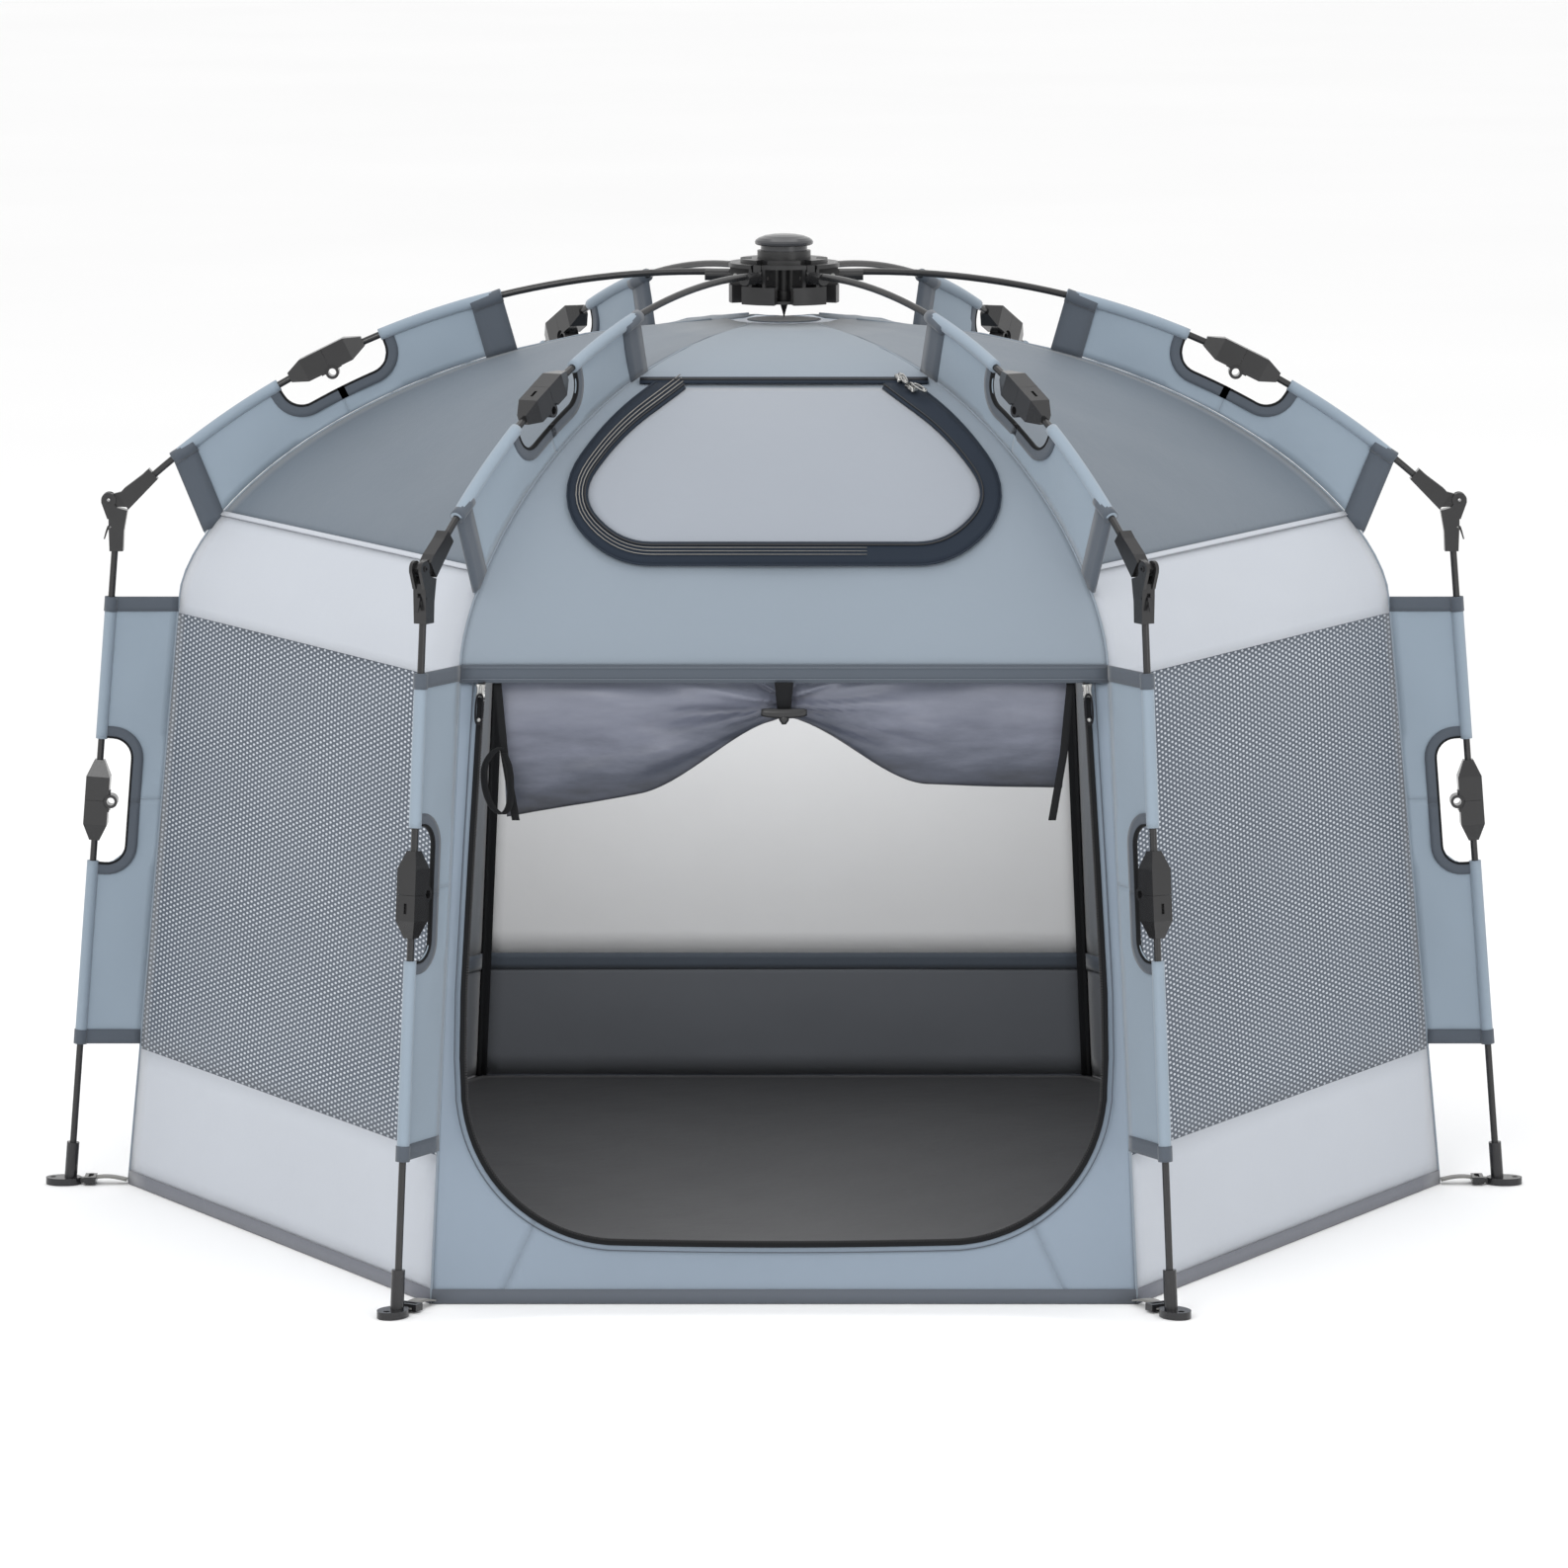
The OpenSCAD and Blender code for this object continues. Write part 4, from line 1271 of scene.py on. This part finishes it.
def fins():
    def arch_seam(r):
        # the point of the roof seam beside the pole at r
        t = (r - ARCH_FIN[0]) / (ARCH_FIN[1] - ARCH_FIN[0])
        z_r = ARCH_FIN_INNER[0] + (ARCH_FIN_INNER[1] - ARCH_FIN_INNER[0]) * t
        z = float(np.interp(-z_r, -SEAM_R, SEAM_Z))
        return Vector((z_r + 0.0015, z + 0.001))

    def leg_seam(z):
        return Vector((seam_r(z) + 0.001, z))

    for i in range(RIBS):
        for q, (body, band_w) in enumerate((("inner_pole", 0.033), ("outer_pole", 0.027))):
            fin_half("arch", i, f"{body}_{i}", ARCH_HINGE_R, ARCH_FIN[q], arch_pt, arch_seam,
                     0.121, band_w, "arch_fins", i == q == 0)
        for q, body in enumerate(("upper_leg", "lower_leg")):
            fin_half("leg", i, f"{body}_{i}", LEG_HINGE_Z, LEG_FIN[q], leg_pt, leg_seam,
                     0.132, 0.015, "leg_fins", i == q == 0)


fins()


# ---- straps ----

def straps():
    for i in range(RIBS):
        start = FLOOR_R + 0.0015
        reach = FOOT_LOOP_R - start
        n = 14
        centre = [in_rib(i, (start + reach * q / n, 0.004 + 0.0035 * math.sin(math.pi * q / n)))
                  for q in range(n + 1)]
        side = in_rib(i, (0, 0), 1.0)
        strap = strip(f"foot_strap_{i}", centre, [side] * (n + 1), 0.014, WEBBING, 0.0016)
        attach(strap, "tent")
        if i == 0:
            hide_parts("foot_straps")
        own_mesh(strap)


straps()


# ---- finishes of the frame ----

def frame_finish():
    looks = {"arch_inner": HINGE_ROD, "arch_outer": HINGE_ROD, "leg_upper": HINGE_ROD, "leg_lower": HINGE_ROD,
             "foot": FOOT, "elbow_lever": FOOT}
    plan = {f"{stem}_{i}": mat for stem, mat in looks.items() for i in range(RIBS)}
    plan.update({"hub_body": HUB, "hub_pins": STEEL, "hub_cap": CAP, "hub_tether": HUB})
    for node, mat in plan.items():
        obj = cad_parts[node]
        for s in range(len(obj.material_slots)):
            obj.material_slots[s].material = mat
        if not obj.material_slots:
            obj.data.materials.append(mat)
        bevelled(obj, 0.0012, 3)


frame_finish()
